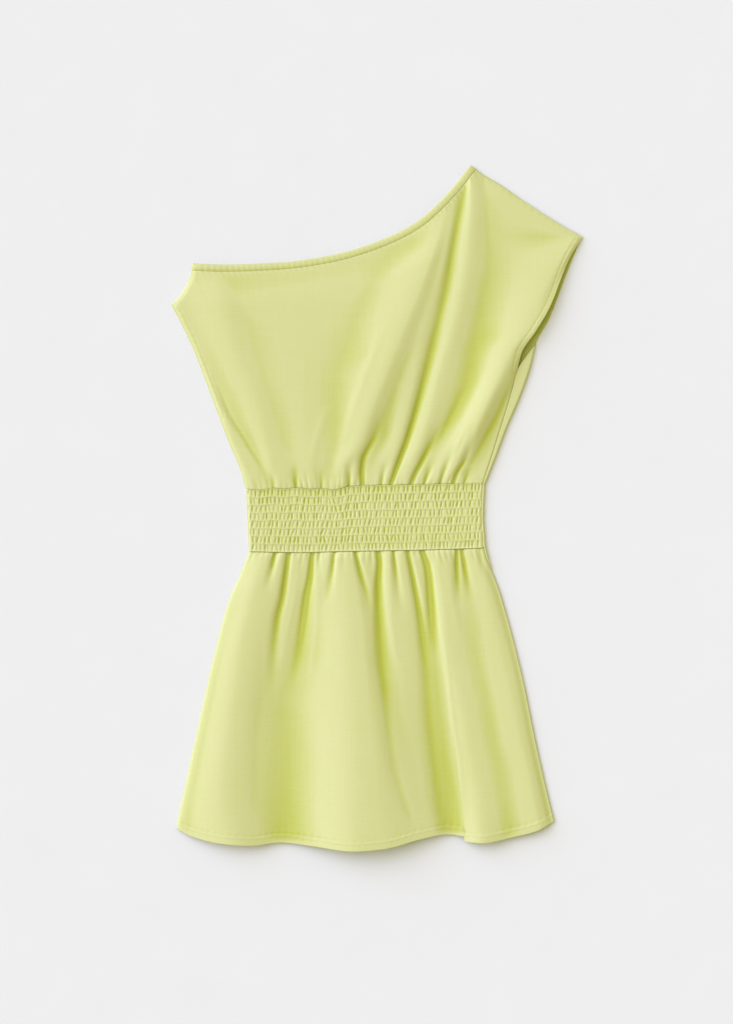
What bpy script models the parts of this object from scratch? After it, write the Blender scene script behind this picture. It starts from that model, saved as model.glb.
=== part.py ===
"""A one-shoulder (off-shoulder) mini dress of light cloth, laid flat with its front over its back.

Seen from above: +X runs to the right, +Y runs up to the shoulders and +Z is up from the surface.
The origin is under the middle of the dress. Sizes below are millimetres, and become metres when
a mesh is made. Every panel is a wall of cloth. The back panels lie flat on the surface, the front
panels lie over them in soft folds, and a smocked waistband sits between bodice and skirt.
"""

from collections import namedtuple

import bmesh
import bpy
import numpy as np

METRES = 0.001
SHARP_ANGLE = np.radians(50)
SLOPE_STEP = 0.25

# Cloth and seams
WALL = 1.2
SEAM_GAP = 0.3
BACK_TOP = WALL
LAP_HEIGHT = BACK_TOP + SEAM_GAP + WALL
WAIST_SEAM_HEIGHT = 4.4
GATHER_SHARE_AT_SEAM = 0.45

# The back's right side is rolled over to the front by this radius, measured to the middle of the wall
WRAP_RADIUS = 1.5
WRAP_REACH = WRAP_RADIUS + WALL / 2
WRAP_TOP = WALL + 2 * WRAP_RADIUS
WRAP_STEPS = 6
SHORTEST_WRAP = 0.8

# The front panels end this far inside the back's outline, so that a thin edge of the back shows
FRONT_INSET = 0.6

# Neck binding
BINDING_WIDTH = 8.0
BINDING_LIFT = 0.4
BINDING_ROUND = 1.2
NECK_DROP = 1.0
NECK_FADE = 45.0

# Soft rounding of the front panels down to their seams
SIDE_ROUND = 7.0
SHOULDER_ROUND = 9.0
BLOUSE_ROUND = 11.0
SEAM_EASE = 0.2
LEFT_EDGE_HEIGHT = 5.4
SKIRT_EDGE_RISE = 1.5
SKIRT_LEFT_SLOPE = 0.8
NECK_REST_HEIGHT = LAP_HEIGHT + 1.0
ARMHOLE_BOTTOM = 171.0

# Shares of the waist seam that lie under the neckline's left corner and under the neck point
NECK_CORNER_SHARE = 0.085
NECK_POINT_SHARE = 0.70

# Skirt hem
HEM_DEPTH = 12.4
HEM_LIFT = 0.5
HEM_EDGE = 0.9
BACK_HEM_RISE = 3.0

# Smocking: rows of small puckers between lines of elastic stitching
SMOCKING_ROWS = 8
PUCKERS_IN_A_ROW = 53
STITCH_LINE_HEIGHT = 2.8
PUCKER_CREST = 4.9
PUCKER_TROUGH = 3.0
BAND_EDGE_HEIGHT = 3.2
PUCKER_LEAN = 0.8

Colour = namedtuple("Colour", "red green blue")
CLOTH_COLOUR = Colour(0.74, 0.77, 0.33)
BINDING_COLOUR = Colour(0.76, 0.79, 0.36)
CLOTH_ROUGHNESS = 0.85

# Outline of the bodice from above, as rows of x and y
NECKLINE = (
    (-229.2, 303.0), (-190.0, 301.7), (-120.0, 304.4), (-60.0, 312.7),
    (-2.0, 329.6), (48.0, 354.2), (90.0, 393.0), (115.5, 425.0),
)
SHOULDER = (
    (115.5, 425.0), (130.0, 414.0), (152.5, 400.7), (180.0, 381.6), (238.5, 344.4), (254.6, 335.7),
)
SHORT_SHOULDER = ((-254.6, 251.7), (-245.0, 262.0), (-234.0, 281.5), (-229.6, 293.0), (-229.2, 303.0))

# Outlines as rows of y and x
BODICE_LEFT = (
    (23.0, -162.0), (50.5, -170.4), (84.8, -185.0), (115.0, -196.4),
    (160.8, -213.5), (201.6, -229.6), (232.8, -244.9), (251.7, -254.6),
)
BODICE_RIGHT = (
    (30.0, 134.4), (64.0, 147.6), (99.6, 161.0), (141.0, 178.6), (172.7, 189.7),
    (202.0, 197.2), (233.0, 214.0), (288.6, 235.6), (335.7, 254.6),
)
FRONT_ARMHOLE = (
    (171.0, 173.8), (193.0, 179.4), (219.0, 196.8), (248.0, 213.7), (308.0, 238.0), (335.7, 254.6),
)
BAND_MIDDLE_Y = -13.0
BAND_HALF_HEIGHT = 39.5
BAND_LEFT = ((-56.0, -158.4), (-15.0, -160.0), (26.0, -162.0))
BAND_RIGHT = ((-52.0, 135.0), (-14.0, 132.6), (31.0, 134.4))
SKIRT_LEFT = (
    (-397.0, -249.0), (-282.5, -224.2), (-173.0, -199.3), (-110.0, -181.6), (-84.3, -169.9), (-54.0, -158.4),
)
SKIRT_RIGHT = (
    (-389.0, 219.4), (-302.4, 199.3), (-206.0, 179.3), (-106.5, 152.8), (-75.6, 142.0), (-49.0, 135.0),
)

# Seams and hem as rows of x and y
WAIST_TOP = ((-165.0, 23.2), (-100.0, 25.0), (-57.0, 23.8), (-20.0, 28.0), (40.0, 28.5), (135.0, 30.7))
WAIST_BOTTOM = ((-165.0, -54.2), (-97.0, -55.4), (-45.0, -54.2), (35.0, -52.8), (95.0, -51.2), (140.0, -49.3))
HEM_LEFT_OF_STEP = (
    (-249.0, -397.0), (-229.8, -407.0), (-193.0, -415.8), (-155.5, -418.6), (-120.0, -414.8),
    (-79.5, -419.0), (-30.0, -425.0), (9.0, -422.0), (58.0, -409.5), (86.4, -404.8), (107.4, -407.0),
)
HEM_RIGHT_OF_STEP = ((108.6, -413.5), (130.7, -415.2), (168.8, -408.0), (197.0, -400.8), (219.4, -389.0))

# The share of the folds' height that is left at the neckline, as rows of x and share
NECK_FOLD_SHARE = ((-240.0, 0.35), (40.0, 0.4), (100.0, 0.85), (260.0, 0.85))

# How far the back is wrapped over the front on the right, as rows of y and reach
BODICE_WRAP = (
    (30.0, 2.6), (64.0, 4.5), (100.0, 7.0), (126.0, 10.0),
    (150.0, 13.0), (171.0, 15.0), (188.0, 8.0), (204.0, 0.0),
)
BAND_WRAP = 2.6
SKIRT_WRAP = ((-110.0, 0.0), (-85.0, 0.4), (-70.0, 1.6), (-49.0, 2.6))

# A fold line is a crest or a valley that runs up or down a panel, as rows of y, x and height.
# The cloth runs in a soft wave through these lines, from the left side to the right. A line may also
# be a ledge, where the cloth falls less steeply for a while.
FoldLine = namedtuple("FoldLine", "name path")
BODICE_FOLDS = (
    FoldLine("side_crease", (
        (31, -136, 4.8), (75, -155, 4.8), (108, -175, 4.8), (168, -205, 5.0), (300, -262, 5.2))),
    FoldLine("corner_ridge", (
        (31, -122, 6.8), (84, -137, 7.8), (121, -146, 8.4), (196, -176, 9.0), (233, -186, 9.4),
        (270, -198, 9.2), (300, -214, 7.2))),
    FoldLine("corner_trough", (
        (31, -98, 6.2), (108, -118, 6.6), (171, -139, 7.2), (245, -160, 7.4), (292, -180, 6.4))),
    FoldLine("chest", ((31, -80, 7.2), (110, -92, 7.2), (200, -100, 7.2), (300, -105, 6.4))),
    FoldLine("centre_valley", (
        (31, -62, 6.0), (84, -55, 6.0), (158, -54, 5.8), (196, -42, 5.8), (233, -30, 6.0),
        (270, -14, 6.0), (307, 6, 5.8), (330, 24, 5.6))),
    FoldLine("left_crest", (
        (31, -42, 8.6), (57, -35, 9.2), (84, -21, 10.2), (121, -8, 11.8), (158, 7, 12.6), (196, 22, 12.8),
        (233, 37, 12.6), (270, 52, 12.0), (307, 66, 10.8), (344, 77, 9.0), (362, 82, 8.0))),
    FoldLine("split", (
        (31, -12, 5.8), (57, -5, 5.6), (84, 8, 5.6), (121, 18, 7.0), (158, 30, 8.4), (196, 44, 8.9),
        (233, 55, 9.4), (270, 68, 9.2), (307, 78, 8.6), (344, 87, 7.8), (362, 91, 7.2))),
    FoldLine("middle_crest", (
        (31, 8, 7.0), (57, 18, 7.0), (84, 26, 7.2), (121, 36, 7.9), (158, 44.6, 8.3), (196, 53, 8.3),
        (233, 62, 8.6), (270, 74, 8.4), (307, 83, 8.0), (344, 91, 7.3), (362, 95, 6.8))),
    FoldLine("main_trough", (
        (31, 20, 5.2), (57, 28.5, 5.3), (84, 40, 5.6), (121, 51.5, 5.8), (158, 61, 5.8), (196, 70, 5.8),
        (233, 78, 6.1), (270, 87, 6.2), (307, 93, 6.2), (344, 99, 5.9), (382, 106, 5.2), (405, 110, 4.6))),
    FoldLine("main_crest", (
        (31, 33, 7.2), (57, 43, 7.4), (84, 54.6, 7.6), (121, 67, 8.0), (158, 76, 8.0), (196, 87, 8.2),
        (233, 97, 8.5), (270, 105, 8.7), (307, 111.6, 8.7), (344, 115.3, 8.5), (382, 117, 8.1),
        (413, 116, 7.4))),
    FoldLine("right_valley", (
        (31, 50, 5.2), (57, 64.5, 5.0), (84, 78, 4.8), (121, 97, 4.6), (158, 111.6, 4.6), (196, 119, 4.6),
        (233, 128, 4.8), (270, 136.4, 5.0), (307, 142.6, 5.2), (344, 140, 5.4), (382, 138, 5.4),
        (405, 134, 5.0))),
    FoldLine("pleat_crest", (
        (31, 80, 7.4), (57, 101, 9.2), (84, 116, 11.4), (121, 132.5, 12.8), (158, 150, 12.8),
        (196, 168, 12.4), (219, 184, 12.2), (270, 208, 10.4), (308, 226, 8.6), (336, 246, 5.0))),
    FoldLine("pleat_valley", (
        (31, 106, 4.4), (44, 113, 4.4), (67, 126, 4.4), (93, 140, 4.4), (121, 155, 4.5), (160, 171, 4.8),
        (193, 178.6, 9.6), (219, 194.6, 12.0), (270, 215, 9.6), (308, 234, 7.8), (336, 251, 4.2))),
)
FRONT_RIGHT_HEIGHT = (
    (30.0, WRAP_TOP), (171.0, WRAP_TOP), (193.0, 9.4), (219.0, 11.6),
    (270.0, 8.6), (315.0, 5.2), (335.7, LAP_HEIGHT),
)
SKIRT_FOLDS = (
    FoldLine("crest_1", (
        (-420, -180, 15.4), (-362, -190, 13.4), (-325, -188, 12.6), (-288, -184, 12.0), (-251, -179, 11.4),
        (-214, -173, 11.0), (-176, -168, 10.6), (-108, -153, 9.2), (-54, -138, 6.6))),
    FoldLine("valley_1", (
        (-420, -115, 5.2), (-362, -115, 4.6), (-288, -114, 4.2), (-251, -113, 4.1), (-214, -107, 4.1),
        (-176, -98, 4.0), (-108, -90, 4.5), (-54, -86, 5.4))),
    FoldLine("crest_2", (
        (-425, -24, 22.0), (-362, -26, 20.2), (-325, -26, 19.0), (-288, -27, 17.6), (-251, -28, 16.0),
        (-214, -30, 14.2), (-176, -33, 12.4), (-108, -36, 9.8), (-54, -44, 7.8))),
    FoldLine("brow", (
        (-425, 6, 20.6), (-362, -1, 19.0), (-325, -4, 17.9), (-288, -7, 16.7), (-251, -10, 15.1),
        (-214, -13, 13.4), (-176, -17, 11.7), (-108, -22, 9.2), (-54, -30, 7.2))),
    FoldLine("middle_valley", (
        (-425, 56, 13.0), (-362, 37, 12.6), (-325, 31, 11.6), (-288, 25, 10.6), (-251, 19, 9.4),
        (-214, 12, 7.9), (-176, 7, 6.6), (-108, 4, 5.6), (-54, 2, 5.2))),
    FoldLine("middle_ridge", (
        (-425, 73, 10.0), (-362, 57, 9.0), (-325, 50, 8.3), (-288, 43, 7.8), (-251, 37, 7.5),
        (-214, 32, 7.2), (-176, 25, 7.3), (-108, 19, 7.4), (-54, 17, 6.8))),
    FoldLine("valley_2", (
        (-415, 94, 4.4), (-385, 91, 4.0), (-303, 81.4, 3.6), (-245, 75, 3.4), (-164, 69, 3.8),
        (-87, 62.5, 4.8), (-54, 55.6, 5.0))),
    FoldLine("crest_3", (
        (-415, 130, 13.6), (-385, 128, 11.2), (-362, 126, 9.8), (-325, 120, 8.6), (-288, 113, 7.9),
        (-251, 106, 7.5), (-214, 98, 7.3), (-176, 90, 7.4), (-108, 82, 7.8), (-54, 73, 7.4))),
    FoldLine("valley_3", (
        (-400, 168, 7.4), (-362, 163, 6.8), (-325, 157, 6.1), (-288, 147, 5.5), (-251, 141, 5.2),
        (-214, 133, 5.1), (-176, 125, 5.2), (-108, 116, 5.4), (-54, 104, 5.2))),
    FoldLine("crest_4", (
        (-400, 200, 8.2), (-362, 193, 7.8), (-325, 186, 7.2), (-288, 176, 6.8), (-251, 169, 6.6),
        (-214, 160, 6.4), (-176, 151, 6.3), (-108, 136, 6.1), (-54, 121, 5.8))),
)

# A gather is a crease that starts at a waist seam and fades out, as rows of y and x from its seam
Gather = namedtuple("Gather", "depth width path")
BODICE_GATHERS = (
    Gather(1.7, 3.0, ((24, -128), (48, -131))),
    Gather(2.1, 3.2, ((24, -100), (56, -102))),
    Gather(1.5, 3.0, ((24, -69), (52, -69))),
    Gather(2.7, 3.4, ((26, -35), (44, -35), (66, -30))),
    Gather(3.6, 3.9, ((26, -17), (42, -18.5), (57, -17.5), (84, -6), (128, 9))),
    Gather(2.1, 3.2, ((28, 5), (42, 7.5), (64, 14))),
    Gather(3.5, 3.9, (
        (28, 17.5), (42, 22), (57, 27.5), (84, 37.5), (121, 48.5), (158, 58), (196, 67), (240, 78))),
    Gather(3.6, 3.6, ((28, 42), (42, 47.5), (57, 55.5), (84, 68), (112, 80))),
    Gather(2.1, 3.2, ((28, 58), (62, 70))),
    Gather(2.6, 3.4, ((29, 78), (42, 82), (57, 88), (80, 98))),
    Gather(2.9, 3.6, ((30, 94.5), (42, 98.5), (57, 107), (80, 116), (104, 124))),
    Gather(1.8, 3.0, ((30, 108.5), (52, 116))),
)
SKIRT_GATHERS = (
    Gather(2.4, 3.3, ((-110, -138), (-86, -133), (-54, -125.5))),
    Gather(3.2, 4.3, (
        (-250, -134), (-176, -128), (-139, -123.5), (-108, -116.5), (-87, -113.5), (-54, -109))),
    Gather(2.9, 4.3, ((-240, -111), (-176, -96), (-139, -90.5), (-108, -86.5), (-87, -82.5), (-54, -79.5))),
    Gather(1.2, 2.9, ((-92, -73), (-54, -72))),
    Gather(2.4, 3.5, ((-126, -64), (-84, -56.5), (-54, -52.5))),
    Gather(2.9, 3.8, ((-150, -7), (-108, -13.5), (-86, -19), (-54, -27))),
    Gather(3.2, 4.3, ((-214, 12), (-157, 4.5), (-98, 2), (-70, 3.5), (-54, 1.5))),
    Gather(2.7, 3.6, ((-140, 32), (-97, 25.5), (-54, 20.5))),
    Gather(2.9, 3.9, ((-230, 64), (-147, 55), (-91, 45.5), (-54, 38))),
    Gather(3.3, 3.8, ((-190, 72), (-107, 67), (-70, 62.5), (-54, 56))),
    Gather(2.6, 3.3, ((-130, 101), (-84, 99.5), (-54, 99))),
    Gather(2.4, 3.3, ((-120, 117), (-76, 109.5), (-54, 105.6))),
    Gather(1.5, 2.9, ((-84, 136), (-54, 128))),
)
GATHER_SPREAD = 1.6

# Rows of each grid, as shares of the way from its waist seam to its far edge
BODICE_ROWS = (
    0, 0.012, 0.035, 0.07, 0.115, 0.17, 0.235, 0.31, 0.39,
    0.475, 0.56, 0.645, 0.73, 0.81, 0.885, 0.95, 0.985, 1,
)
SKIRT_ROWS = (0, 0.012, 0.035, 0.07, 0.115, 0.17, 0.24, 0.33, 0.44, 0.56, 0.69, 0.83)
BODICE_BACK_ROWS = BODICE_ROWS[:10] + (0.51, 0.54, 0.57, 0.65, 0.8, 1)
SKIRT_BACK_ROWS = SKIRT_ROWS[:6] + (0.33, 0.56, 0.8, 1)
BAND_BACK_COLUMNS = 12
SKIRT_BACK_COLUMNS = 24
NECK_BACK_COLUMNS = (2, 15, 4)
BESIDE_GATHER = 3.2
EDGE_COLUMNS = (1.6, 4.5, 10.0)
CLOSEST_COLUMNS = 1.4


def smooth_through(table, places):
    """Read a table at the given places: its first column is the place, the others run smoothly."""
    rows = np.array(sorted(table), dtype=float)
    knots = rows[:, 0]
    values = rows[:, 1:]
    places = np.asarray(places, dtype=float)
    gaps = np.diff(knots)
    slopes = np.diff(values, axis=0) / gaps[:, None]
    tangents = np.zeros_like(values)
    tangents[0] = slopes[0]
    tangents[-1] = slopes[-1]
    before = slopes[:-1]
    after = slopes[1:]
    same_way = before * after > 0
    tangents[1:-1] = np.where(same_way, 2 * before * after / np.where(same_way, before + after, 1), 0)
    index = np.clip(np.searchsorted(knots, places, side="right") - 1, 0, len(gaps) - 1)
    step = gaps[index][..., None]
    share = np.clip((places - knots[index]) / gaps[index], 0, 1)[..., None]
    start_weight = 2 * share**3 - 3 * share**2 + 1
    start_pull = share**3 - 2 * share**2 + share
    end_pull = share**3 - share**2
    read = (values[index] * start_weight + values[index + 1] * (1 - start_weight)
            + tangents[index] * step * start_pull + tangents[index + 1] * step * end_pull)
    return read[..., 0] if values.shape[1] == 1 else read


def straight_through(table, places):
    """Read a table of x and y as one straight line between its ends, for the plain seams of the back."""
    (first_x, first_y), (last_x, last_y) = table[0], table[-1]
    return first_y + (last_y - first_y) * (np.asarray(places) - first_x) / (last_x - first_x)


def ease(share):
    """Run from 0 to 1 with a level start and a level end."""
    share = np.clip(share, 0, 1)
    return share * share * (3 - 2 * share)


def quarter_round(distance, width):
    """Rise from 0 to 1 over a width, steep at the start and level at the end, like a rolled edge."""
    share = np.clip(distance / width, 0, 1)
    return np.sqrt(1 - (1 - share) ** 2)


def along(points, shares):
    """Points at the given shares of the length of a smooth line through some points."""
    points = np.array(points, dtype=float)
    lengths = np.concatenate(([0], np.cumsum(np.linalg.norm(np.diff(points, axis=0), axis=1))))
    table = np.column_stack((lengths / lengths[-1], points))
    return smooth_through([tuple(row) for row in table], shares)


def length_of(points):
    return np.linalg.norm(np.diff(np.array(points), axis=0), axis=1).sum()


def right_hand_side(line):
    """Unit directions to the right of a line, in the order in which it runs."""
    run = np.gradient(line, axis=0)
    run = run / np.linalg.norm(run, axis=1)[:, None]
    return np.column_stack((run[:, 1], -run[:, 0]))


def distance_to(line, x, y):
    """Distance from each point to the nearest stretch of a line."""
    line = np.asarray(line, dtype=float)
    nearest = np.full(np.shape(x), np.inf)
    for start, end in zip(line[:-1], line[1:]):
        run = end - start
        share = np.clip(((x - start[0]) * run[0] + (y - start[1]) * run[1]) / (run @ run), 0, 1)
        away = np.hypot(x - start[0] - share * run[0], y - start[1] - share * run[1])
        nearest = np.minimum(nearest, away)
    return nearest


def patch(near, far, left, right, rows, columns):
    """Fill a grid between four edges: near and far run along the columns, left and right along the rows."""
    down = np.asarray(rows)[:, None, None]
    across = np.asarray(columns)[None, :, None]
    between_rows = (1 - down) * near[None] + down * far[None]
    between_sides = (1 - across) * left[:, None] + across * right[:, None]
    corners = ((1 - down) * ((1 - across) * near[0] + across * near[-1])
               + down * ((1 - across) * far[0] + across * far[-1]))
    return between_rows + between_sides - corners


def panel_plan(near, far, left_seam, right_seam, rows, columns):
    """A panel from above, from its waist seam to its far edge, with its sides on two seams."""
    left_y = near[0, 1] + rows * (far[0, 1] - near[0, 1])
    right_y = near[-1, 1] + rows * (far[-1, 1] - near[-1, 1])
    left = np.column_stack((left_seam(left_y), left_y))
    right = np.column_stack((right_seam(right_y), right_y))
    near[0], near[-1] = left[0], right[0]
    far[0], far[-1] = left[-1], right[-1]
    return patch(near, far, left, right, rows, columns)


def height_between_folds(folds, left_edge, right_edge, x, y, left_slope=0.0):
    """Height of a soft wave through the fold lines, between two edges of (x, height).

    The wave is level at a crest or a valley and keeps falling past a ledge, without overshooting.
    It leaves its left edge with a share of the mean slope up to the first line."""
    lines = [left_edge] + [np.moveaxis(smooth_through(fold.path, y), -1, 0) for fold in folds] + [right_edge]
    places = [np.broadcast_to(line[0], np.shape(x)) for line in lines]
    heights = [np.broadcast_to(line[1], np.shape(x)) for line in lines]
    gaps = [np.maximum(after - before, 0.5) for before, after in zip(places[:-1], places[1:])]
    slopes = [(after - before) / gap for before, after, gap in zip(heights[:-1], heights[1:], gaps)]
    tangents = [left_slope * slopes[0]]
    for before, after in zip(slopes[:-1], slopes[1:]):
        same_way = before * after > 0
        tangents.append(np.where(same_way, 2 * before * after / np.where(same_way, before + after, 1), 0))
    tangents.append(np.zeros(np.shape(x)))
    height = heights[0]
    for number, gap in enumerate(gaps):
        share = np.clip((x - places[number]) / gap, 0, 1)
        start_pull = tangents[number] * (share**3 - 2 * share**2 + share)
        end_pull = tangents[number + 1] * (share**3 - share**2)
        rise = (heights[number + 1] - heights[number]) * ease(share)
        read = heights[number] + rise + gap * (start_pull + end_pull)
        height = np.where(share > 0, read, height)
    return height


def gather_depth(gathers, x, y, seam_y):
    """How far the creases at a waist seam sink the cloth at each point."""
    depth = np.zeros_like(x)
    for gather in gathers:
        path = sorted(gather.path, key=lambda row: abs(row[0] - seam_y))
        length = abs(path[-1][0] - path[0][0])
        share = np.clip(np.abs(y - path[0][0]) / length, 0, 1)
        width = gather.width * (1 + GATHER_SPREAD * share)
        offset = (x - smooth_through(gather.path, y)) / width
        depth += gather.depth * np.exp(-offset**2) * (1 - ease(share))
    return depth


def slope_normals(height, x, y):
    """Unit normals of a height function."""
    slope_x = (height(x + SLOPE_STEP, y) - height(x - SLOPE_STEP, y)) / (2 * SLOPE_STEP)
    slope_y = (height(x, y + SLOPE_STEP) - height(x, y - SLOPE_STEP)) / (2 * SLOPE_STEP)
    normals = np.stack((-slope_x, -slope_y, np.ones_like(slope_x)), axis=-1)
    return normals / np.linalg.norm(normals, axis=-1)[..., None]


def wall_from_height(plan, height):
    """Outer and inner points of a wall: the outer follows a height, the inner lies one wall below it."""
    x = plan[..., 0]
    y = plan[..., 1]
    outer = np.stack((x, y, height(x, y)), axis=-1)
    normals = slope_normals(height, x, y)
    straight_up = np.array((0.0, 0.0, 1.0))
    normals[0] = straight_up
    normals[-1] = straight_up
    normals[:, 0] = straight_up
    normals[:, -1] = straight_up
    return outer, outer - WALL * normals


def grid_triangles(points, index):
    """Two triangles for each cell of a grid, cut along the cell's shorter diagonal."""
    triangles = []
    for row in range(points.shape[0] - 1):
        for column in range(points.shape[1] - 1):
            a, b = index[row, column], index[row, column + 1]
            d, c = index[row + 1, column], index[row + 1, column + 1]
            first = np.linalg.norm(points[row, column] - points[row + 1, column + 1])
            second = np.linalg.norm(points[row, column + 1] - points[row + 1, column])
            if first <= second:
                triangles += [(a, b, c), (a, c, d)]
            else:
                triangles += [(a, b, d), (b, c, d)]
    return triangles


def rim_of(index):
    """The edge of a grid, once round."""
    return (list(index[0]) + list(index[1:, -1]) + list(index[-1, -2::-1]) + list(index[-2:0:-1, 0]))


def rim_faces(outer_rim, inner_rim):
    """Triangles that join the edges of a wall's two faces."""
    triangles = []
    for step in range(len(outer_rim)):
        after = (step + 1) % len(outer_rim)
        triangles += [(outer_rim[after], outer_rim[step], inner_rim[step]),
                      (outer_rim[after], inner_rim[step], inner_rim[after])]
    return triangles


def closed_wall(outer, inner):
    """Points and triangles of a wall between two grids of the same size."""
    count = outer.shape[0] * outer.shape[1]
    outer_index = np.arange(count).reshape(outer.shape[:2])
    inner_index = outer_index + count
    triangles = grid_triangles(outer, outer_index)
    triangles += [(c + count, b + count, a + count) for a, b, c in triangles]
    triangles += rim_faces(rim_of(outer_index), rim_of(inner_index))
    return np.concatenate((outer.reshape(-1, 3), inner.reshape(-1, 3))), triangles


def cloth_material(name, colour):
    material = bpy.data.materials.new(name)
    material.use_nodes = True
    shader = material.node_tree.nodes["Principled BSDF"]
    shader.inputs["Base Color"].default_value = (*colour, 1.0)
    shader.inputs["Roughness"].default_value = CLOTH_ROUGHNESS
    shader.inputs["Metallic"].default_value = 0.0
    return material


def make_object(name, points, faces, colour):
    """Make one closed piece with its own material, with every face pointing out."""
    shape = bmesh.new()
    corners = [shape.verts.new(point * METRES) for point in points]
    for face in faces:
        shape.faces.new([corners[corner] for corner in face])
    bmesh.ops.recalc_face_normals(shape, faces=shape.faces)
    mesh = bpy.data.meshes.new(name)
    shape.to_mesh(mesh)
    shape.free()
    mesh.materials.append(cloth_material(name + "_cloth", colour))
    mesh.shade_smooth()
    mesh.set_sharp_from_angle(angle=SHARP_ANGLE)
    piece = bpy.data.objects.new(name, mesh)
    bpy.context.scene.collection.objects.link(piece)
    return piece


def waist_columns(creases, left, right):
    """Shares of the waist seam, with a column in each gather, beside it and between it and the next."""
    places = [left, right] + [left + inside for inside in EDGE_COLUMNS]
    places += [right - inside for inside in EDGE_COLUMNS[:2]]
    for crease in creases:
        places += [crease - BESIDE_GATHER, crease, crease + BESIDE_GATHER]
    stops = [left] + sorted(creases) + [right]
    for before, after in zip(stops[:-1], stops[1:]):
        if after - before > 4 * BESIDE_GATHER:
            places.append((before + after) / 2)
    kept = [left]
    for place in sorted(places):
        if place - kept[-1] > CLOSEST_COLUMNS:
            kept.append(place)
    kept[-1] = right
    return (np.array(kept) - left) / (right - left)


def move_column(columns, share):
    """Move the column nearest to a share of the width onto it, for a corner of the outline."""
    columns = columns.copy()
    nearest = int(np.argmin(np.abs(columns - share)))
    columns[nearest] = share
    return columns, nearest


def bodice_left_outline(y):
    return smooth_through(BODICE_LEFT, y)


def bodice_left_seam(y):
    return bodice_left_outline(y) + FRONT_INSET


def bodice_right_outline(y):
    return smooth_through(BODICE_RIGHT, y)


def bodice_right_seam(y):
    """The front's right edge: the side seam below the armhole, and the armhole's edge above it."""
    seam = bodice_right_outline(y) - smooth_through(BODICE_WRAP, y) - SEAM_GAP
    return np.where(y < ARMHOLE_BOTTOM, seam, smooth_through(FRONT_ARMHOLE, y))


def bodice_seams():
    """The seams where the front bodice comes down to the back, each with the width of its rounding."""
    left_y = np.linspace(BODICE_LEFT[0][0], BODICE_LEFT[-1][0], 2 * len(BODICE_LEFT))
    left_side = np.column_stack((bodice_left_seam(left_y), left_y))
    short_shoulder = along(SHORT_SHOULDER, np.linspace(0, 1, len(SHORT_SHOULDER)))
    shoulder = along(SHOULDER, np.linspace(0, 1, 2 * len(SHOULDER)))
    return (left_side, SIDE_ROUND), (short_shoulder, SIDE_ROUND), (shoulder, SHOULDER_ROUND)


def rise_from_waist(height, gathers, above_seam, from_left):
    """Bring a front panel down to its waist seam, where its gathers still show."""
    seam_height = WAIST_SEAM_HEIGHT - GATHER_SHARE_AT_SEAM * gathers
    seam_height = LAP_HEIGHT + (seam_height - LAP_HEIGHT) * np.clip(from_left / SIDE_ROUND, 0, 1)
    return seam_height + (height - seam_height) * quarter_round(np.maximum(above_seam, 0), BLOUSE_ROUND)


def bodice_height(x, y):
    """Height of the front bodice's outer face."""
    left_edge = (bodice_left_seam(y), np.full_like(y, LEFT_EDGE_HEIGHT))
    right_edge = (bodice_right_seam(y), smooth_through(FRONT_RIGHT_HEIGHT, y))
    gathers = gather_depth(BODICE_GATHERS, x, y, WAIST_TOP[0][1])
    height = height_between_folds(BODICE_FOLDS, left_edge, right_edge, x, y) - gathers
    neck = along(NECKLINE, np.linspace(0, 1, 3 * len(NECKLINE)))
    at_neck = NECK_REST_HEIGHT + smooth_through(NECK_FOLD_SHARE, x) * (height - NECK_REST_HEIGHT)
    height = at_neck + (height - at_neck) * ease((distance_to(neck, x, y) - BINDING_WIDTH) / NECK_FADE)
    for seam, width in bodice_seams():
        inside = np.maximum(distance_to(seam, x, y) - FRONT_INSET - SEAM_EASE, 0)
        height = LAP_HEIGHT + (height - LAP_HEIGHT) * quarter_round(inside, width)
    above_waist = y - smooth_through(WAIST_TOP, x) - SEAM_GAP / 2
    height = rise_from_waist(height, gathers, above_waist, x - left_edge[0])
    return np.maximum(height, LAP_HEIGHT)


def bodice_top(columns, neck_corner, neck_point, drop):
    """The bodice's upper edge: the short shoulder, the neckline under its binding and the shoulder seam."""
    below_neck = BINDING_WIDTH + SEAM_GAP + drop
    neck_shares = columns[neck_corner:neck_point + 1] - columns[neck_corner]
    neck = along(NECKLINE, neck_shares / neck_shares[-1])
    neck_edge = neck + below_neck * right_hand_side(neck)
    short_shares = columns[:neck_corner + 1] / columns[neck_corner]
    short_shoulder = along(SHORT_SHOULDER, short_shares * (1 - below_neck / length_of(SHORT_SHOULDER)))
    short_shoulder[:, 0] += drop * short_shares
    shoulder_shares = (columns[neck_point:] - columns[neck_point]) / (1 - columns[neck_point])
    first = below_neck / length_of(SHOULDER)
    shoulder = along(SHOULDER, first + (1 - first) * shoulder_shares)
    shoulder[:, 1] -= drop * (1 - shoulder_shares)
    neck_edge[0] = short_shoulder[-1]
    neck_edge[-1] = shoulder[0]
    return np.concatenate((short_shoulder[:-1], neck_edge, shoulder[1:])), neck


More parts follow.
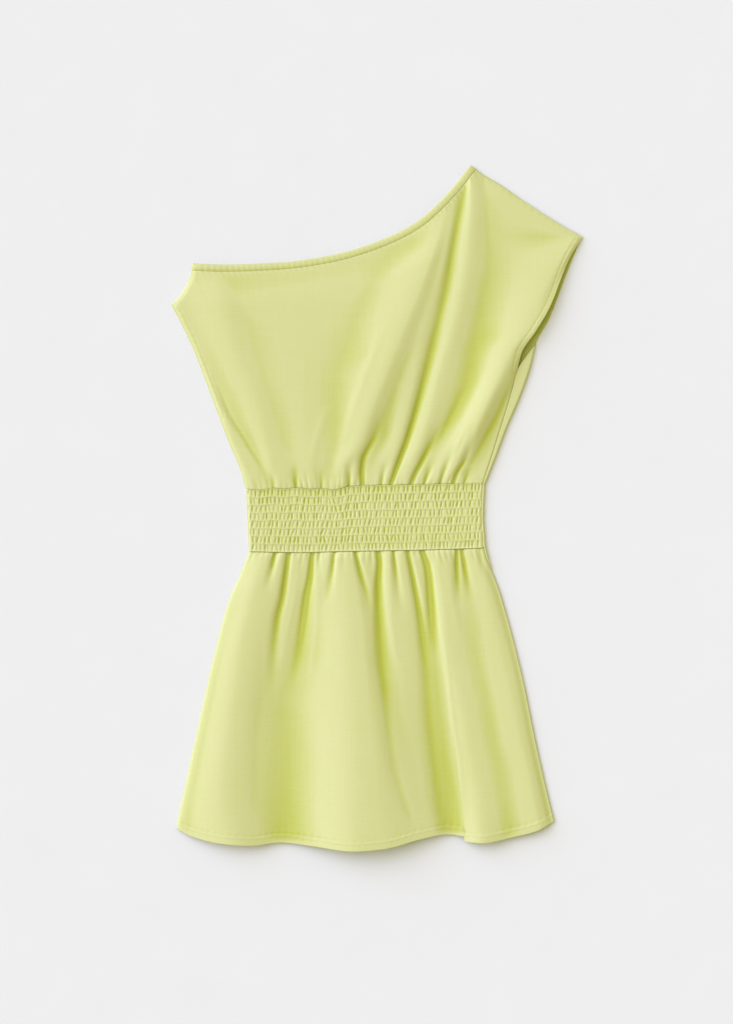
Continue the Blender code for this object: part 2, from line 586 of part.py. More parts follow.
def bodice_front():
    waist_left_y, waist_right_y = WAIST_TOP[0][1], WAIST_TOP[-1][1]
    left = float(bodice_left_seam(waist_left_y))
    right = float(bodice_right_seam(waist_right_y))
    columns = waist_columns([gather.path[0][1] for gather in BODICE_GATHERS], left, right)
    columns, neck_corner = move_column(columns, NECK_CORNER_SHARE)
    columns, neck_point = move_column(columns, NECK_POINT_SHARE)
    waist_x = left + (right - left) * columns
    near = np.column_stack((waist_x, smooth_through(WAIST_TOP, waist_x) + SEAM_GAP / 2))
    far, neck = bodice_top(columns, neck_corner, neck_point, NECK_DROP)
    plan = panel_plan(near, far, bodice_left_seam, bodice_right_seam, np.array(BODICE_ROWS), columns)
    outer, inner = wall_from_height(plan, bodice_height)
    make_object("bodice_front", *closed_wall(outer, inner), CLOTH_COLOUR)
    return neck, outer[-1, neck_corner:neck_point + 1, 2]


def neck_binding(name, neck, heights, drop, lift):
    """A folded strip along the neckline, next to the panel's edge."""
    sides = right_hand_side(neck)
    top = heights + lift
    bottom = heights - WALL
    middle = (top + bottom) / 2
    inner_side = drop + BINDING_WIDTH
    section = (
        (drop, bottom), (drop, middle), (drop + BINDING_ROUND, top),
        (inner_side - BINDING_ROUND, top), (inner_side, middle), (inner_side, bottom),
    )
    grid = np.stack([np.column_stack((neck + inside * sides, level)) for inside, level in section], axis=1)
    count, around = grid.shape[:2]
    index = np.arange(count * around).reshape(count, around)
    faces = grid_triangles(np.concatenate((grid, grid[:, :1]), axis=1), np.column_stack((index, index[:, 0])))
    faces += [tuple(index[0]), tuple(index[-1, ::-1])]
    make_object(name, grid.reshape(-1, 3), faces, BINDING_COLOUR)


def wrapped_back(name, plan, reach):
    """A back panel: flat under the dress, with its right side rolled over to the front by a reach per row."""
    start = plan[:, -1, 0] - WRAP_REACH
    side_y = plan[:, -1, 1]
    flat = plan.copy()
    flat[:, -1, 0] = start
    outer = [np.dstack((flat, np.zeros(flat.shape[:2])))]
    inner = [np.dstack((flat, np.full(flat.shape[:2], WALL)))]
    half_turn = np.pi * WRAP_RADIUS
    length = np.where(reach < WRAP_REACH, reach * half_turn / WRAP_REACH, half_turn + reach - WRAP_REACH)
    length = np.maximum(length, SHORTEST_WRAP)
    for step in range(1, WRAP_STEPS + 1):
        way = length * step / WRAP_STEPS
        turn = np.minimum(way / WRAP_RADIUS, np.pi)
        beyond = np.maximum(way - half_turn, 0)
        middle_x = start + WRAP_RADIUS * np.sin(turn) - beyond
        middle_z = WALL / 2 + WRAP_RADIUS * (1 - np.cos(turn))
        out_x = WALL / 2 * np.sin(turn)
        out_z = -WALL / 2 * np.cos(turn)
        outer.append(np.column_stack((middle_x + out_x, side_y, middle_z + out_z))[:, None])
        inner.append(np.column_stack((middle_x - out_x, side_y, middle_z - out_z))[:, None])
    faces = closed_wall(np.concatenate(outer, axis=1), np.concatenate(inner, axis=1))
    make_object(name, *faces, CLOTH_COLOUR)


def bodice_back():
    before_corner, along_neck, along_shoulder = NECK_BACK_COLUMNS
    columns = np.concatenate((
        np.linspace(0, NECK_CORNER_SHARE, before_corner + 1),
        np.linspace(NECK_CORNER_SHARE, NECK_POINT_SHARE, along_neck + 1)[1:],
        np.linspace(NECK_POINT_SHARE, 1, along_shoulder + 1)[1:],
    ))
    left = BODICE_LEFT[0][1]
    right = BODICE_RIGHT[0][1]
    waist_x = left + (right - left) * columns
    near = np.column_stack((waist_x, straight_through(WAIST_TOP, waist_x) + SEAM_GAP / 2))
    far, neck = bodice_top(columns, before_corner, before_corner + along_neck, 0.0)
    rows = np.array(BODICE_BACK_ROWS)
    plan = panel_plan(near, far, bodice_left_outline, bodice_right_outline, rows, columns)
    wrapped_back("bodice_back", plan, smooth_through(BODICE_WRAP, plan[:, -1, 1]))
    return neck


def band_plan(columns, rows, left_inset, right_inset, seam):
    """The waistband from above, from its upper seam to its lower one, with seams read by a function."""
    row_share = rows[:, None]
    side_y = BAND_MIDDLE_Y + BAND_HALF_HEIGHT * (1 - 2 * row_share)
    left = smooth_through(BAND_LEFT, side_y) + left_inset
    right = smooth_through(BAND_RIGHT, side_y) - right_inset
    x = left + (right - left) * columns[None, :]
    top = seam(WAIST_TOP, x) - SEAM_GAP / 2
    bottom = seam(WAIST_BOTTOM, x) + SEAM_GAP / 2
    return np.stack((x, top + (bottom - top) * row_share), axis=-1)


def smocking_height(last_row, last_column):
    """Heights of the smocking: stitched lines stay low, and staggered puckers stand between them."""
    row = np.arange(last_row + 1)[:, None]
    column = np.arange(last_column + 1)[None, :]
    on_crest = (column + row // 2) % 2 == 0
    height = np.where(on_crest, PUCKER_CREST, PUCKER_TROUGH)
    height = np.where(row % 2 == 0, STITCH_LINE_HEIGHT, height)
    height[0] = BAND_EDGE_HEIGHT
    height[-1] = BAND_EDGE_HEIGHT
    height[:, 0] = LAP_HEIGHT
    height[:, -1] = WRAP_TOP
    return height


def waistband_front():
    last_column = 2 * PUCKERS_IN_A_ROW
    last_row = 2 * SMOCKING_ROWS
    columns = np.linspace(0, 1, last_column + 1)
    rows = np.linspace(0, 1, last_row + 1)
    plan = band_plan(columns, rows, FRONT_INSET, BAND_WRAP + SEAM_GAP, smooth_through)
    plan[1:-1:2, 2:-2, 0] += PUCKER_LEAN
    outer = np.dstack((plan, smocking_height(last_row, last_column)))
    make_object("waistband_front", *plain_backed(outer, LAP_HEIGHT - WALL), CLOTH_COLOUR)


def plain_backed(outer, level):
    """Close a relief with one plain face behind it, at one level."""
    count = outer.shape[0] * outer.shape[1]
    index = np.arange(count).reshape(outer.shape[:2])
    outer_rim = rim_of(index)
    inner_rim = list(range(count, count + len(outer_rim)))
    behind = outer.reshape(-1, 3)[outer_rim]
    behind[:, 2] = level
    faces = grid_triangles(outer, index) + rim_faces(outer_rim, inner_rim) + [tuple(inner_rim[::-1])]
    return np.concatenate((outer.reshape(-1, 3), behind)), faces


def waistband_back():
    columns = np.linspace(0, 1, BAND_BACK_COLUMNS + 1)
    rows = np.linspace(0, 1, SMOCKING_ROWS + 1)
    plan = band_plan(columns, rows, 0.0, 0.0, straight_through)
    wrapped_back("waistband_back", plan, np.full(len(rows), BAND_WRAP))


def skirt_left_outline(y):
    return smooth_through(SKIRT_LEFT, y)


def skirt_left_seam(y):
    return skirt_left_outline(y) + FRONT_INSET


def skirt_right_outline(y):
    return smooth_through(SKIRT_RIGHT, y)


def skirt_right_seam(y):
    return skirt_right_outline(y) - smooth_through(SKIRT_WRAP, y) - SEAM_GAP


def skirt_seam_height(y):
    """The front's right edge stands as high as the back's rolled edge beside it."""
    wrap = np.minimum(smooth_through(SKIRT_WRAP, y) / WRAP_REACH, 1)
    return LAP_HEIGHT + (WRAP_TOP - LAP_HEIGHT) * wrap


def hem_y(x):
    """The hem's edge from above, with the step where one flute lies over the next."""
    step_left, step_right = HEM_LEFT_OF_STEP[-1][0], HEM_RIGHT_OF_STEP[0][0]
    left_part = smooth_through(HEM_LEFT_OF_STEP, np.minimum(x, step_left))
    right_part = smooth_through(HEM_RIGHT_OF_STEP, np.maximum(x, step_right))
    return left_part + (right_part - left_part) * np.clip((x - step_left) / (step_right - step_left), 0, 1)


def skirt_height(x, y):
    """Height of the front skirt's outer face."""
    left = skirt_left_seam(y)
    right = skirt_right_seam(y)
    right_height = skirt_seam_height(y)
    left_edge = (left, np.full_like(y, LAP_HEIGHT + SKIRT_EDGE_RISE))
    right_edge = (right, right_height + SKIRT_EDGE_RISE)
    gathers = gather_depth(SKIRT_GATHERS, x, y, WAIST_BOTTOM[0][1])
    height = height_between_folds(SKIRT_FOLDS, left_edge, right_edge, x, y, SKIRT_LEFT_SLOPE) - gathers
    height = LAP_HEIGHT + (height - LAP_HEIGHT) * quarter_round(np.maximum(x - left, 0), SIDE_ROUND)
    height = right_height + (height - right_height) * quarter_round(np.maximum(right - x, 0), SIDE_ROUND)
    below_waist = smooth_through(WAIST_BOTTOM, x) - SEAM_GAP / 2 - y
    height = rise_from_waist(height, gathers, below_waist, x - left)
    height = height + HEM_LIFT * np.clip((HEM_DEPTH + HEM_EDGE - (y - hem_y(x))) / HEM_EDGE, 0, 1)
    return np.maximum(height, LAP_HEIGHT)


def skirt_edges(left, right, hem_left, hem_right, columns, seam):
    """The skirt's waist seam and hem between given sides."""
    waist_x = left + (right - left) * columns
    hem_x = hem_left + (hem_right - hem_left) * columns
    near = np.column_stack((waist_x, seam(WAIST_BOTTOM, waist_x) - SEAM_GAP / 2))
    far = np.column_stack((hem_x, hem_y(hem_x)))
    return near, far


def skirt_front():
    left = float(skirt_left_seam(WAIST_BOTTOM[0][1]))
    right = float(skirt_right_seam(WAIST_BOTTOM[-1][1]))
    hem_left = float(skirt_left_seam(SKIRT_LEFT[0][0]))
    hem_right = float(skirt_right_seam(SKIRT_RIGHT[0][0]))
    columns = waist_columns([gather.path[-1][1] for gather in SKIRT_GATHERS], left, right)
    step_share = (HEM_LEFT_OF_STEP[-1][0] - hem_left) / (hem_right - hem_left)
    step_width = (HEM_RIGHT_OF_STEP[0][0] - HEM_LEFT_OF_STEP[-1][0]) / (hem_right - hem_left)
    columns, step_column = move_column(columns, step_share)
    columns = np.insert(columns, step_column + 1, step_share + step_width)
    near, far = skirt_edges(left, right, hem_left, hem_right, columns, smooth_through)
    skirt_length = near[0, 1] - far[0, 1]
    hem_rows = (1 - (HEM_DEPTH + HEM_EDGE) / skirt_length, 1 - HEM_DEPTH / skirt_length, 1)
    plan = panel_plan(near, far, skirt_left_seam, skirt_right_seam, np.array(SKIRT_ROWS + hem_rows), columns)
    outer, inner = wall_from_height(plan, skirt_height)
    make_object("skirt_front", *closed_wall(outer, inner), CLOTH_COLOUR)


def skirt_back():
    columns = np.linspace(0, 1, SKIRT_BACK_COLUMNS + 1)
    near, far = skirt_edges(SKIRT_LEFT[-1][1], SKIRT_RIGHT[-1][1], SKIRT_LEFT[0][1], SKIRT_RIGHT[0][1],
                            columns, straight_through)
    far[:, 1] += BACK_HEM_RISE
    plan = panel_plan(near, far, skirt_left_outline, skirt_right_outline, np.array(SKIRT_BACK_ROWS), columns)
    wrapped_back("skirt_back", plan, smooth_through(SKIRT_WRAP, plan[:, -1, 1]))


def main():
    for old in list(bpy.data.objects):
        bpy.data.objects.remove(old, do_unlink=True)
    front_neck, front_neck_height = bodice_front()
    back_neck = bodice_back()
    neck_binding("neck_binding_front", front_neck, front_neck_height, NECK_DROP, BINDING_LIFT)
    neck_binding("neck_binding_back", back_neck, np.full(len(back_neck), WALL), 0.0, 0.0)
    waistband_front()
    waistband_back()
    skirt_front()
    skirt_back()


main()
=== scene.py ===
# %% [markdown]
# # An off-shoulder dress, laid flat on a pale table
# The dress is a mini dress of light yellow-green cloth. It has one slanting neckline, a bodice in
# soft folds, a smocked elastic waistband and a gathered skirt with a fluted hem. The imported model
# already holds its panels as plain solids. This lesson gives each panel its cloth: a fine thin
# shell with creases, gathers, hems, stitches and a woven finish.
#
# Sizes are millimetres in the tables and become metres when a mesh is made. +X runs to the right,
# +Y runs up to the shoulders, and +Z is up from the table.

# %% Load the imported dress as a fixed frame
import math
from collections import namedtuple

import bmesh
import bpy
import numpy as np
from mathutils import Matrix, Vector


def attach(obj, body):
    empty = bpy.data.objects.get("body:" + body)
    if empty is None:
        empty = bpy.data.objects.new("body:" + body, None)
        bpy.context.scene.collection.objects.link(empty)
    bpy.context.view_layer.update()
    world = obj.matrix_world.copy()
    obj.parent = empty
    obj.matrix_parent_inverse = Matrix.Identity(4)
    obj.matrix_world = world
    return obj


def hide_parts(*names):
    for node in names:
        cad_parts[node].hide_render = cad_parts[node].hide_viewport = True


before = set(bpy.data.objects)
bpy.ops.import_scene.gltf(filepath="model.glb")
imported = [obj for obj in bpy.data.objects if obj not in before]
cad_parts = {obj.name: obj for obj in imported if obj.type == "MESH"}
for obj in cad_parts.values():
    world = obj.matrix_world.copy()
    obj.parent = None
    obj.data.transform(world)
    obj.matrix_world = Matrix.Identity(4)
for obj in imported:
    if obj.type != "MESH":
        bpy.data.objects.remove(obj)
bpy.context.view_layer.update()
MM = 0.001
print("nodes of the packed dress:", ", ".join(sorted(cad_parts)))

# %% [markdown]
# ## The camera
# The photo looks straight down, as a catalogue camera on a column does, so the dress shows almost
# no perspective. A long lens a few metres up gives the same picture. The lens follows from the
# height of the picture on the table: a focal length is to its sensor as a distance is to the view.

# %% Camera above the table
VIEW_HEIGHT = 1.27
VIEW_CENTRE = (-0.0130, -0.0053)
CAMERA_HEIGHT = 6.0
SENSOR_HEIGHT_MM = 36.0


def camera_above_the_table():
    data = bpy.data.cameras.new("catalogue_camera")
    data.sensor_fit = "VERTICAL"
    data.sensor_height = SENSOR_HEIGHT_MM
    data.lens = SENSOR_HEIGHT_MM * CAMERA_HEIGHT / VIEW_HEIGHT
    data.clip_end = 50.0
    camera = bpy.data.objects.new("catalogue_camera", data)
    camera.location = (*VIEW_CENTRE, CAMERA_HEIGHT)
    bpy.context.scene.collection.objects.link(camera)
    bpy.context.scene.camera = camera
    return camera


print("lens in mm:", round(camera_above_the_table().data.lens, 1))

# %% [markdown]
# ## Helpers for finishes
# A finish in Blender is a small tree of shader nodes. Two helpers keep such a tree short to write. One
# adds a node and fills in its sockets, the other mixes two colours, each a fixed value or the output of
# another node.

# %% Shader helpers
# A colour Mix node keeps its colours in these sockets
MIX_FIRST, MIX_SECOND, MIX_COLOUR = 6, 7, 2


def node(tree, kind, values=None, **settings):
    """Add a shader node, give its sockets their values and its menus their settings."""
    made = tree.nodes.new(kind)
    for setting, choice in settings.items():
        setattr(made, setting, choice)
    for socket, value in (values or {}).items():
        made.inputs[socket].default_value = value
    return made


def colour_mix(tree, amount, first, second, how="MIX"):
    """Mix two colours, each a value or a socket, by an amount that is a value or a socket."""
    made = node(tree, "ShaderNodeMix", data_type="RGBA", blend_type=how)
    for place, given in ((0, amount), (MIX_FIRST, first), (MIX_SECOND, second)):
        if isinstance(given, bpy.types.NodeSocket):
            tree.links.new(given, made.inputs[place])
        else:
            made.inputs[place].default_value = given
    return made.outputs[MIX_COLOUR]


print("sockets of a colour Mix node:", MIX_FIRST, MIX_SECOND, MIX_COLOUR)

# %% [markdown]
# ## The table
# The dress lies on a plain near-white table, and one flat square, far larger than the view, stands for
# it. A picture of paper could cover it. A fine speckle of noise is enough here, needs no file, and still
# keeps the table from looking painted.

# %% Table
TABLE_SIDE = 14.0
TABLE_COLOUR = (0.82, 0.82, 0.82)
TABLE_SHADE = (0.80, 0.80, 0.80)
TABLE_SPECKLE = {"Scale": 220.0, "Detail": 3.0}


def lay_the_table():
    half = TABLE_SIDE / 2
    mesh = bpy.data.meshes.new("table_top")
    corners = [(-half, -half, 0), (half, -half, 0), (half, half, 0), (-half, half, 0)]
    mesh.from_pydata(corners, [], [(0, 1, 2, 3)])
    table = bpy.data.objects.new("table_top", mesh)
    bpy.context.scene.collection.objects.link(table)
    paper = bpy.data.materials.new("matt_white_table")
    paper.use_nodes = True
    shader = paper.node_tree.nodes["Principled BSDF"]
    shader.inputs["Roughness"].default_value = 0.9
    shader.inputs["Specular IOR Level"].default_value = 0.1
    speckle = node(paper.node_tree, "ShaderNodeTexNoise", TABLE_SPECKLE)
    tone = colour_mix(paper.node_tree, speckle.outputs["Fac"], (*TABLE_COLOUR, 1.0), (*TABLE_SHADE, 1.0))
    paper.node_tree.links.new(tone, shader.inputs["Base Color"])
    mesh.materials.append(paper)


lay_the_table()
print("side of the table in metres:", TABLE_SIDE)

# %% [markdown]
# ## The light
# The folds are bright on the sides that face the upper left, and the table darkens softly to the right
# of the dress and below it, so one broad light stands at the upper left. A sun lamp with a wide disc
# lights the whole table evenly, where a near softbox would make one side of it brighter. A second,
# lower lamp brings out the shallow folds and draws the shadows out a little further. The lamps are cool,
# like a north window, and the sky that fills the shadows is warm, like the walls of a room. Together
# they are white on the table, but lit slopes look pale and shaded ones deep and warm, as in the photo.

# %% Lights
SunLamp = namedtuple("SunLamp", "name strength disc_degrees comes_from")
SUN_LAMPS = (
    SunLamp("broad_key_light", 1.90, 80, (-0.66, 0.40, 0.62)),
    SunLamp("low_side_light", 1.10, 44, (-0.78, 0.42, 0.34)),
)
LAMP_COLOUR = (0.926, 0.982, 1.521)
SKY_STRENGTH = 0.57
SKY_COLOUR = (1.060, 1.000, 0.530)


def light_the_table():
    for lamp in SUN_LAMPS:
        data = bpy.data.lights.new(lamp.name, "SUN")
        data.energy = lamp.strength
        data.angle = math.radians(lamp.disc_degrees)
        data.color = LAMP_COLOUR
        hung = bpy.data.objects.new(lamp.name, data)
        hung.rotation_euler = Vector(lamp.comes_from).to_track_quat("Z", "Y").to_euler()
        bpy.context.scene.collection.objects.link(hung)
    sky = bpy.data.worlds.new("white_studio")
    sky.use_nodes = True
    sky.node_tree.nodes["Background"].inputs["Color"].default_value = (*SKY_COLOUR, 1.0)
    sky.node_tree.nodes["Background"].inputs["Strength"].default_value = SKY_STRENGTH
    bpy.context.scene.world = sky
    bpy.context.scene.view_settings.view_transform = "Standard"


light_the_table()
print("lamps:", ", ".join(lamp.name for lamp in SUN_LAMPS))

# %% [markdown]
# ## Reading the pattern
# A dressmaker keeps a pattern as a few marked points and draws smooth lines through them. The tables
# below are such marks, and could be curve objects too. One function reads any of them smoothly and
# never overshoots between two marks, so a side seam stays as clean as the real one.

# %% Smooth lines through marks
def level_at_turns(before, after):
    """The slope at a mark between two stretches: their harmonic mean, and level where they turn."""
    same_way = before * after > 0
    return np.where(same_way, 2 * before * after / np.where(same_way, before + after, 1), 0)


def smooth_through(table, places):
    """Read a table at some places: its first column is the place, the others run smoothly."""
    rows = np.array(sorted(table), dtype=float)
    knots, values = rows[:, 0], rows[:, 1:]
    places = np.asarray(places, dtype=float)
    gaps = np.diff(knots)
    slopes = np.diff(values, axis=0) / gaps[:, None]
    tangents = np.zeros_like(values)
    tangents[0], tangents[-1] = slopes[0], slopes[-1]
    tangents[1:-1] = level_at_turns(slopes[:-1], slopes[1:])
    index = np.clip(np.searchsorted(knots, places, side="right") - 1, 0, len(gaps) - 1)
    step = gaps[index][..., None]
    share = np.clip((places - knots[index]) / gaps[index], 0, 1)[..., None]
    start_weight = 2 * share**3 - 3 * share**2 + 1
    pull = tangents[index] * (share**3 - 2 * share**2 + share) + tangents[index + 1] * (share**3 - share**2)
    read = values[index] * start_weight + values[index + 1] * (1 - start_weight) + step * pull
    return read[..., 0] if values.shape[1] == 1 else read


def straight_through(table, places):
    (first_x, first_y), (last_x, last_y) = table[0], table[-1]
    return first_y + (last_y - first_y) * (np.asarray(places) - first_x) / (last_x - first_x)


def length_of(points):
    return np.linalg.norm(np.diff(np.array(points, dtype=float), axis=0), axis=1).sum()


def run_of(points):
    """How far along a line each of its points lies."""
    return np.concatenate(([0], np.cumsum(np.linalg.norm(np.diff(points, axis=0), axis=1))))


def along(points, shares):
    """Points at the given shares of the length of a smooth line through some points."""
    points = np.array(points, dtype=float)
    lengths = run_of(points)
    return smooth_through([tuple(row) for row in np.column_stack((lengths / lengths[-1], points))], shares)


print("a quarter of the way from 0 to 8:", float(smooth_through(((0, 0), (1, 8)), 0.25)))

# %% [markdown]
# ## Soft shapes
# Cloth bends in few ways. It eases from one level to another, it rounds off towards a seam like a
# quarter of a circle, and a crease or a stitched line has the section of a bell. These shapes and the
# distance to a seam are all that the reliefs below are made of, so each is one short function.

# %% Eases, rounds, bells and distances
def ease(share):
    share = np.clip(share, 0, 1)
    return share * share * (3 - 2 * share)


def quarter_round(distance, width):
    share = np.clip(distance / width, 0, 1)
    return np.sqrt(1 - (1 - share) ** 2)


def bell(distance, width):
    return np.exp(-((distance / width) ** 2))


def right_hand_side(line):
    run = np.gradient(line, axis=0)
    run = run / np.linalg.norm(run, axis=1)[:, None]
    return np.column_stack((run[:, 1], -run[:, 0]))


def distance_to(line, x, y):
    nearest = np.full(np.shape(x), np.inf)
    for start, end in zip(line[:-1], line[1:]):
        run = end - start
        share = np.clip(((x - start[0]) * run[0] + (y - start[1]) * run[1]) / (run @ run), 0, 1)
        nearest = np.minimum(nearest, np.hypot(x - start[0] - share * run[0], y - start[1] - share * run[1]))
    return nearest


print("half way along a quarter turn:", round(float(quarter_round(0.5, 1.0)), 3))

# %% [markdown]
# ## A grid that is fine where the cloth is
# Gathers are crisp at a seam and fade within a few centimetres, and a stitched hem has its detail in
# its last centimetre. Rows and columns therefore crowd together near the seams and spread out
# between them, which spends the mesh where it shows. A panel is then filled in between its four edges,
# which is how a Coons patch works.

# %% Crowded rows and filled panels
SPACING_SAMPLES = 2000


def crowded(length, start_step, middle_step, end_step, zone):
    """Shares of a length, an even number of steps, small near its ends and longer between them."""
    place = np.linspace(0, length, SPACING_SAMPLES)
    step = middle_step + (start_step - middle_step) * bell(place, zone)
    step += (end_step - middle_step) * bell(length - place, zone)
    count = np.concatenate(([0], np.cumsum(np.diff(place) * 2 / (step[1:] + step[:-1]))))
    steps = 2 * math.ceil(count[-1] / 2)
    return np.interp(np.linspace(0, count[-1], steps + 1), count, place) / length


def patch(near, far, left, right, rows, columns):
    """Fill a grid between four edges."""
    down, across = rows[:, None, None], columns[None, :, None]
    corners = ((1 - down) * ((1 - across) * near[0] + across * near[-1])
               + down * ((1 - across) * far[0] + across * far[-1]))
    return ((1 - down) * near[None] + down * far[None]
            + (1 - across) * left[:, None] + across * right[:, None] - corners)


def panel_plan(near, far, left_seam, right_seam, rows, columns):
    """A panel from above, from its waist seam to its far edge, with its sides on two seams."""
    left_y = near[0, 1] + rows * (far[0, 1] - near[0, 1])
    right_y = near[-1, 1] + rows * (far[-1, 1] - near[-1, 1])
    left = np.column_stack((left_seam(left_y), left_y))
    right = np.column_stack((right_seam(right_y), right_y))
    near[0], near[-1] = left[0], right[0]
    far[0], far[-1] = left[-1], right[-1]
    return patch(near, far, left, right, rows, columns)


print("steps along a 300 mm seam:", len(crowded(300, 1, 2.5, 1, 25)) - 1)

# %% [markdown]
# ## The bodice as it lies
# These are the outlines of the bodice in millimetres, the same marks that its solids were made from: a
# slanting neckline, a long shoulder on the right, a short one on the left and two side seams. Two shares
# say where the neckline's corners fall on the panel's upper edge.

# %% Outlines of the bodice
NECKLINE = (
    (-229.2, 303.0), (-190.0, 301.7), (-120.0, 304.4), (-60.0, 312.7),
    (-2.0, 329.6), (48.0, 354.2), (90.0, 393.0), (115.5, 425.0),
)
SHOULDER = (
    (115.5, 425.0), (130.0, 414.0), (152.5, 400.7), (180.0, 381.6), (238.5, 344.4), (254.6, 335.7),
)
SHORT_SHOULDER = ((-254.6, 251.7), (-245.0, 262.0), (-234.0, 281.5), (-229.6, 293.0), (-229.2, 303.0))
BODICE_LEFT = (
    (23.0, -162.0), (50.5, -170.4), (84.8, -185.0), (115.0, -196.4),
    (160.8, -213.5), (201.6, -229.6), (232.8, -244.9), (251.7, -254.6),
)
BODICE_RIGHT = (
    (30.0, 134.4), (64.0, 147.6), (99.6, 161.0), (141.0, 178.6), (172.7, 189.7),
    (202.0, 197.2), (233.0, 214.0), (288.6, 235.6), (335.7, 254.6),
)
FRONT_ARMHOLE = (
    (171.0, 173.8), (193.0, 179.4), (219.0, 196.8), (248.0, 213.7), (308.0, 238.0), (335.7, 254.6),
)
LEFT_ARMHOLE_BOTTOM = 115.0
RIGHT_ARMHOLE_BOTTOM = 171.0
NECK_CORNER_SHARE = 0.085
NECK_POINT_SHARE = 0.70
print("neckline in mm:", round(length_of(NECKLINE)), "shoulder:", round(length_of(SHOULDER)))

# %% [markdown]
# ## The waistband and the skirt as they lie
# The waistband is a short wide band, and the skirt flares from it to a hem of three flutes. Where one
# flute lies over the next, the hem has a step, so it is read in two stretches. Just above the band the
# gathered bodice sags between its gathers, so its lower edge hangs in small scallops.

# %% Outlines of the waistband and the skirt
BAND_MIDDLE_Y = -13.0
BAND_HALF_HEIGHT = 39.5
BAND_LEFT = ((-56.0, -158.4), (-15.0, -160.0), (26.0, -162.0))
BAND_RIGHT = ((-52.0, 135.0), (-14.0, 132.6), (31.0, 134.4))
SKIRT_LEFT = (
    (-397.0, -249.0), (-282.5, -224.2), (-173.0, -199.3), (-110.0, -181.6), (-84.3, -169.9), (-54.0, -158.4),
)
SKIRT_RIGHT = (
    (-389.0, 219.4), (-302.4, 199.3), (-206.0, 179.3), (-106.5, 152.8), (-75.6, 142.0), (-49.0, 135.0),
)
WAIST_TOP = ((-165.0, 23.2), (-100.0, 25.0), (-57.0, 23.8), (-20.0, 28.0), (40.0, 28.5), (135.0, 30.7))
WAIST_BOTTOM = ((-165.0, -54.2), (-97.0, -55.4), (-45.0, -54.2), (35.0, -52.8), (95.0, -51.2), (140.0, -49.3))
HEM_LEFT_OF_STEP = (
    (-249.0, -397.0), (-229.8, -407.0), (-193.0, -415.8), (-155.5, -418.6), (-120.0, -414.8),
    (-79.5, -419.0), (-30.0, -425.0), (9.0, -422.0), (58.0, -409.5), (86.4, -404.8), (107.4, -407.0),
)
HEM_RIGHT_OF_STEP = ((108.6, -413.5), (130.7, -415.2), (168.8, -408.0), (197.0, -400.8), (219.4, -389.0))
SCALLOPS = (
    (-162.0, 0.0), (-146.0, 1.6), (-130.0, 0.2), (-115.0, 1.7), (-99.0, 0.2), (-84.0, 1.8),
    (-69.0, 0.2), (-52.0, 2.0), (-35.0, 0.2), (-25.0, 1.0), (-15.0, 0.1), (-5.0, 0.8),
    (5.0, 0.1), (18.0, 0.5), (30.0, 0.0), (135.0, 0.0),
)
print("width of the flat waist in mm:", round(BAND_RIGHT[1][1] - BAND_LEFT[1][1]))

# %% [markdown]
# ## Layers and rolled sides
# The front panels lie over the back ones and end a hair inside them, so a thin edge of the back shows.
# On the right the back's side is rolled over to the front, which is how this dress was smoothed flat.
# The roll could be a bend modifier. A table of how far it reaches at each height follows the real
# side seam more closely.

# %% Layers, gaps and rolled sides
BODICE_WRAP = (
    (30.0, 2.6), (64.0, 4.5), (100.0, 7.0), (126.0, 10.0),
    (150.0, 13.0), (171.0, 15.0), (188.0, 8.0), (204.0, 0.0),
)
BAND_WRAP = 2.6
SKIRT_WRAP = ((-110.0, 0.0), (-85.0, 0.4), (-70.0, 1.6), (-49.0, 2.6))

# The back's wall, the cloth itself, the gap between pieces that meet, the hair by which the front ends
# inside the back, and the height of the front where it lies down at its edges. The roll has a middle
# radius, an outer reach and a top. The front's neckline lies a little below the back's.
WALL = 1.2
CLOTH = 1.0
SEAM_GAP = 0.3
FRONT_INSET = 0.6
LAP_HEIGHT = 2.7
WRAP_RADIUS = 1.5
WRAP_REACH = 2.1
WRAP_TOP = 4.2
BINDING_WIDTH = 8.0
NECK_DROP = 1.0
print("the roll is at most", max(reach for _y, reach in BODICE_WRAP), "mm wide")

# %% [markdown]
# ## Seams worked out from the outlines
# A seam of the front isn't a table of its own. It is the outline of the back, moved in by the inset or
# by the width of the roll, so the two panels can never drift apart.

# %% Side seams, waist seams and hem
def bodice_left_outline(y):
    return smooth_through(BODICE_LEFT, y)


def bodice_left_seam(y):
    return bodice_left_outline(y) + FRONT_INSET


def bodice_right_outline(y):
    return smooth_through(BODICE_RIGHT, y)


def bodice_right_seam(y):
    """The front's right edge: the side seam below the armhole, and the armhole's edge above it."""
    seam = bodice_right_outline(y) - smooth_through(BODICE_WRAP, y) - SEAM_GAP
    return np.where(y < RIGHT_ARMHOLE_BOTTOM, seam, smooth_through(FRONT_ARMHOLE, y))


def skirt_left_outline(y):
    return smooth_through(SKIRT_LEFT, y)


def skirt_left_seam(y):
    return skirt_left_outline(y) + FRONT_INSET


def skirt_right_outline(y):
    return smooth_through(SKIRT_RIGHT, y)


def skirt_right_seam(y):
    return skirt_right_outline(y) - smooth_through(SKIRT_WRAP, y) - SEAM_GAP


def front_seam(table, x):
    """A waist seam of the front: the bodice hangs over the band's upper seam in small scallops."""
    hang = smooth_through(SCALLOPS, x) if table is WAIST_TOP else 0.0
    return smooth_through(table, x) - hang


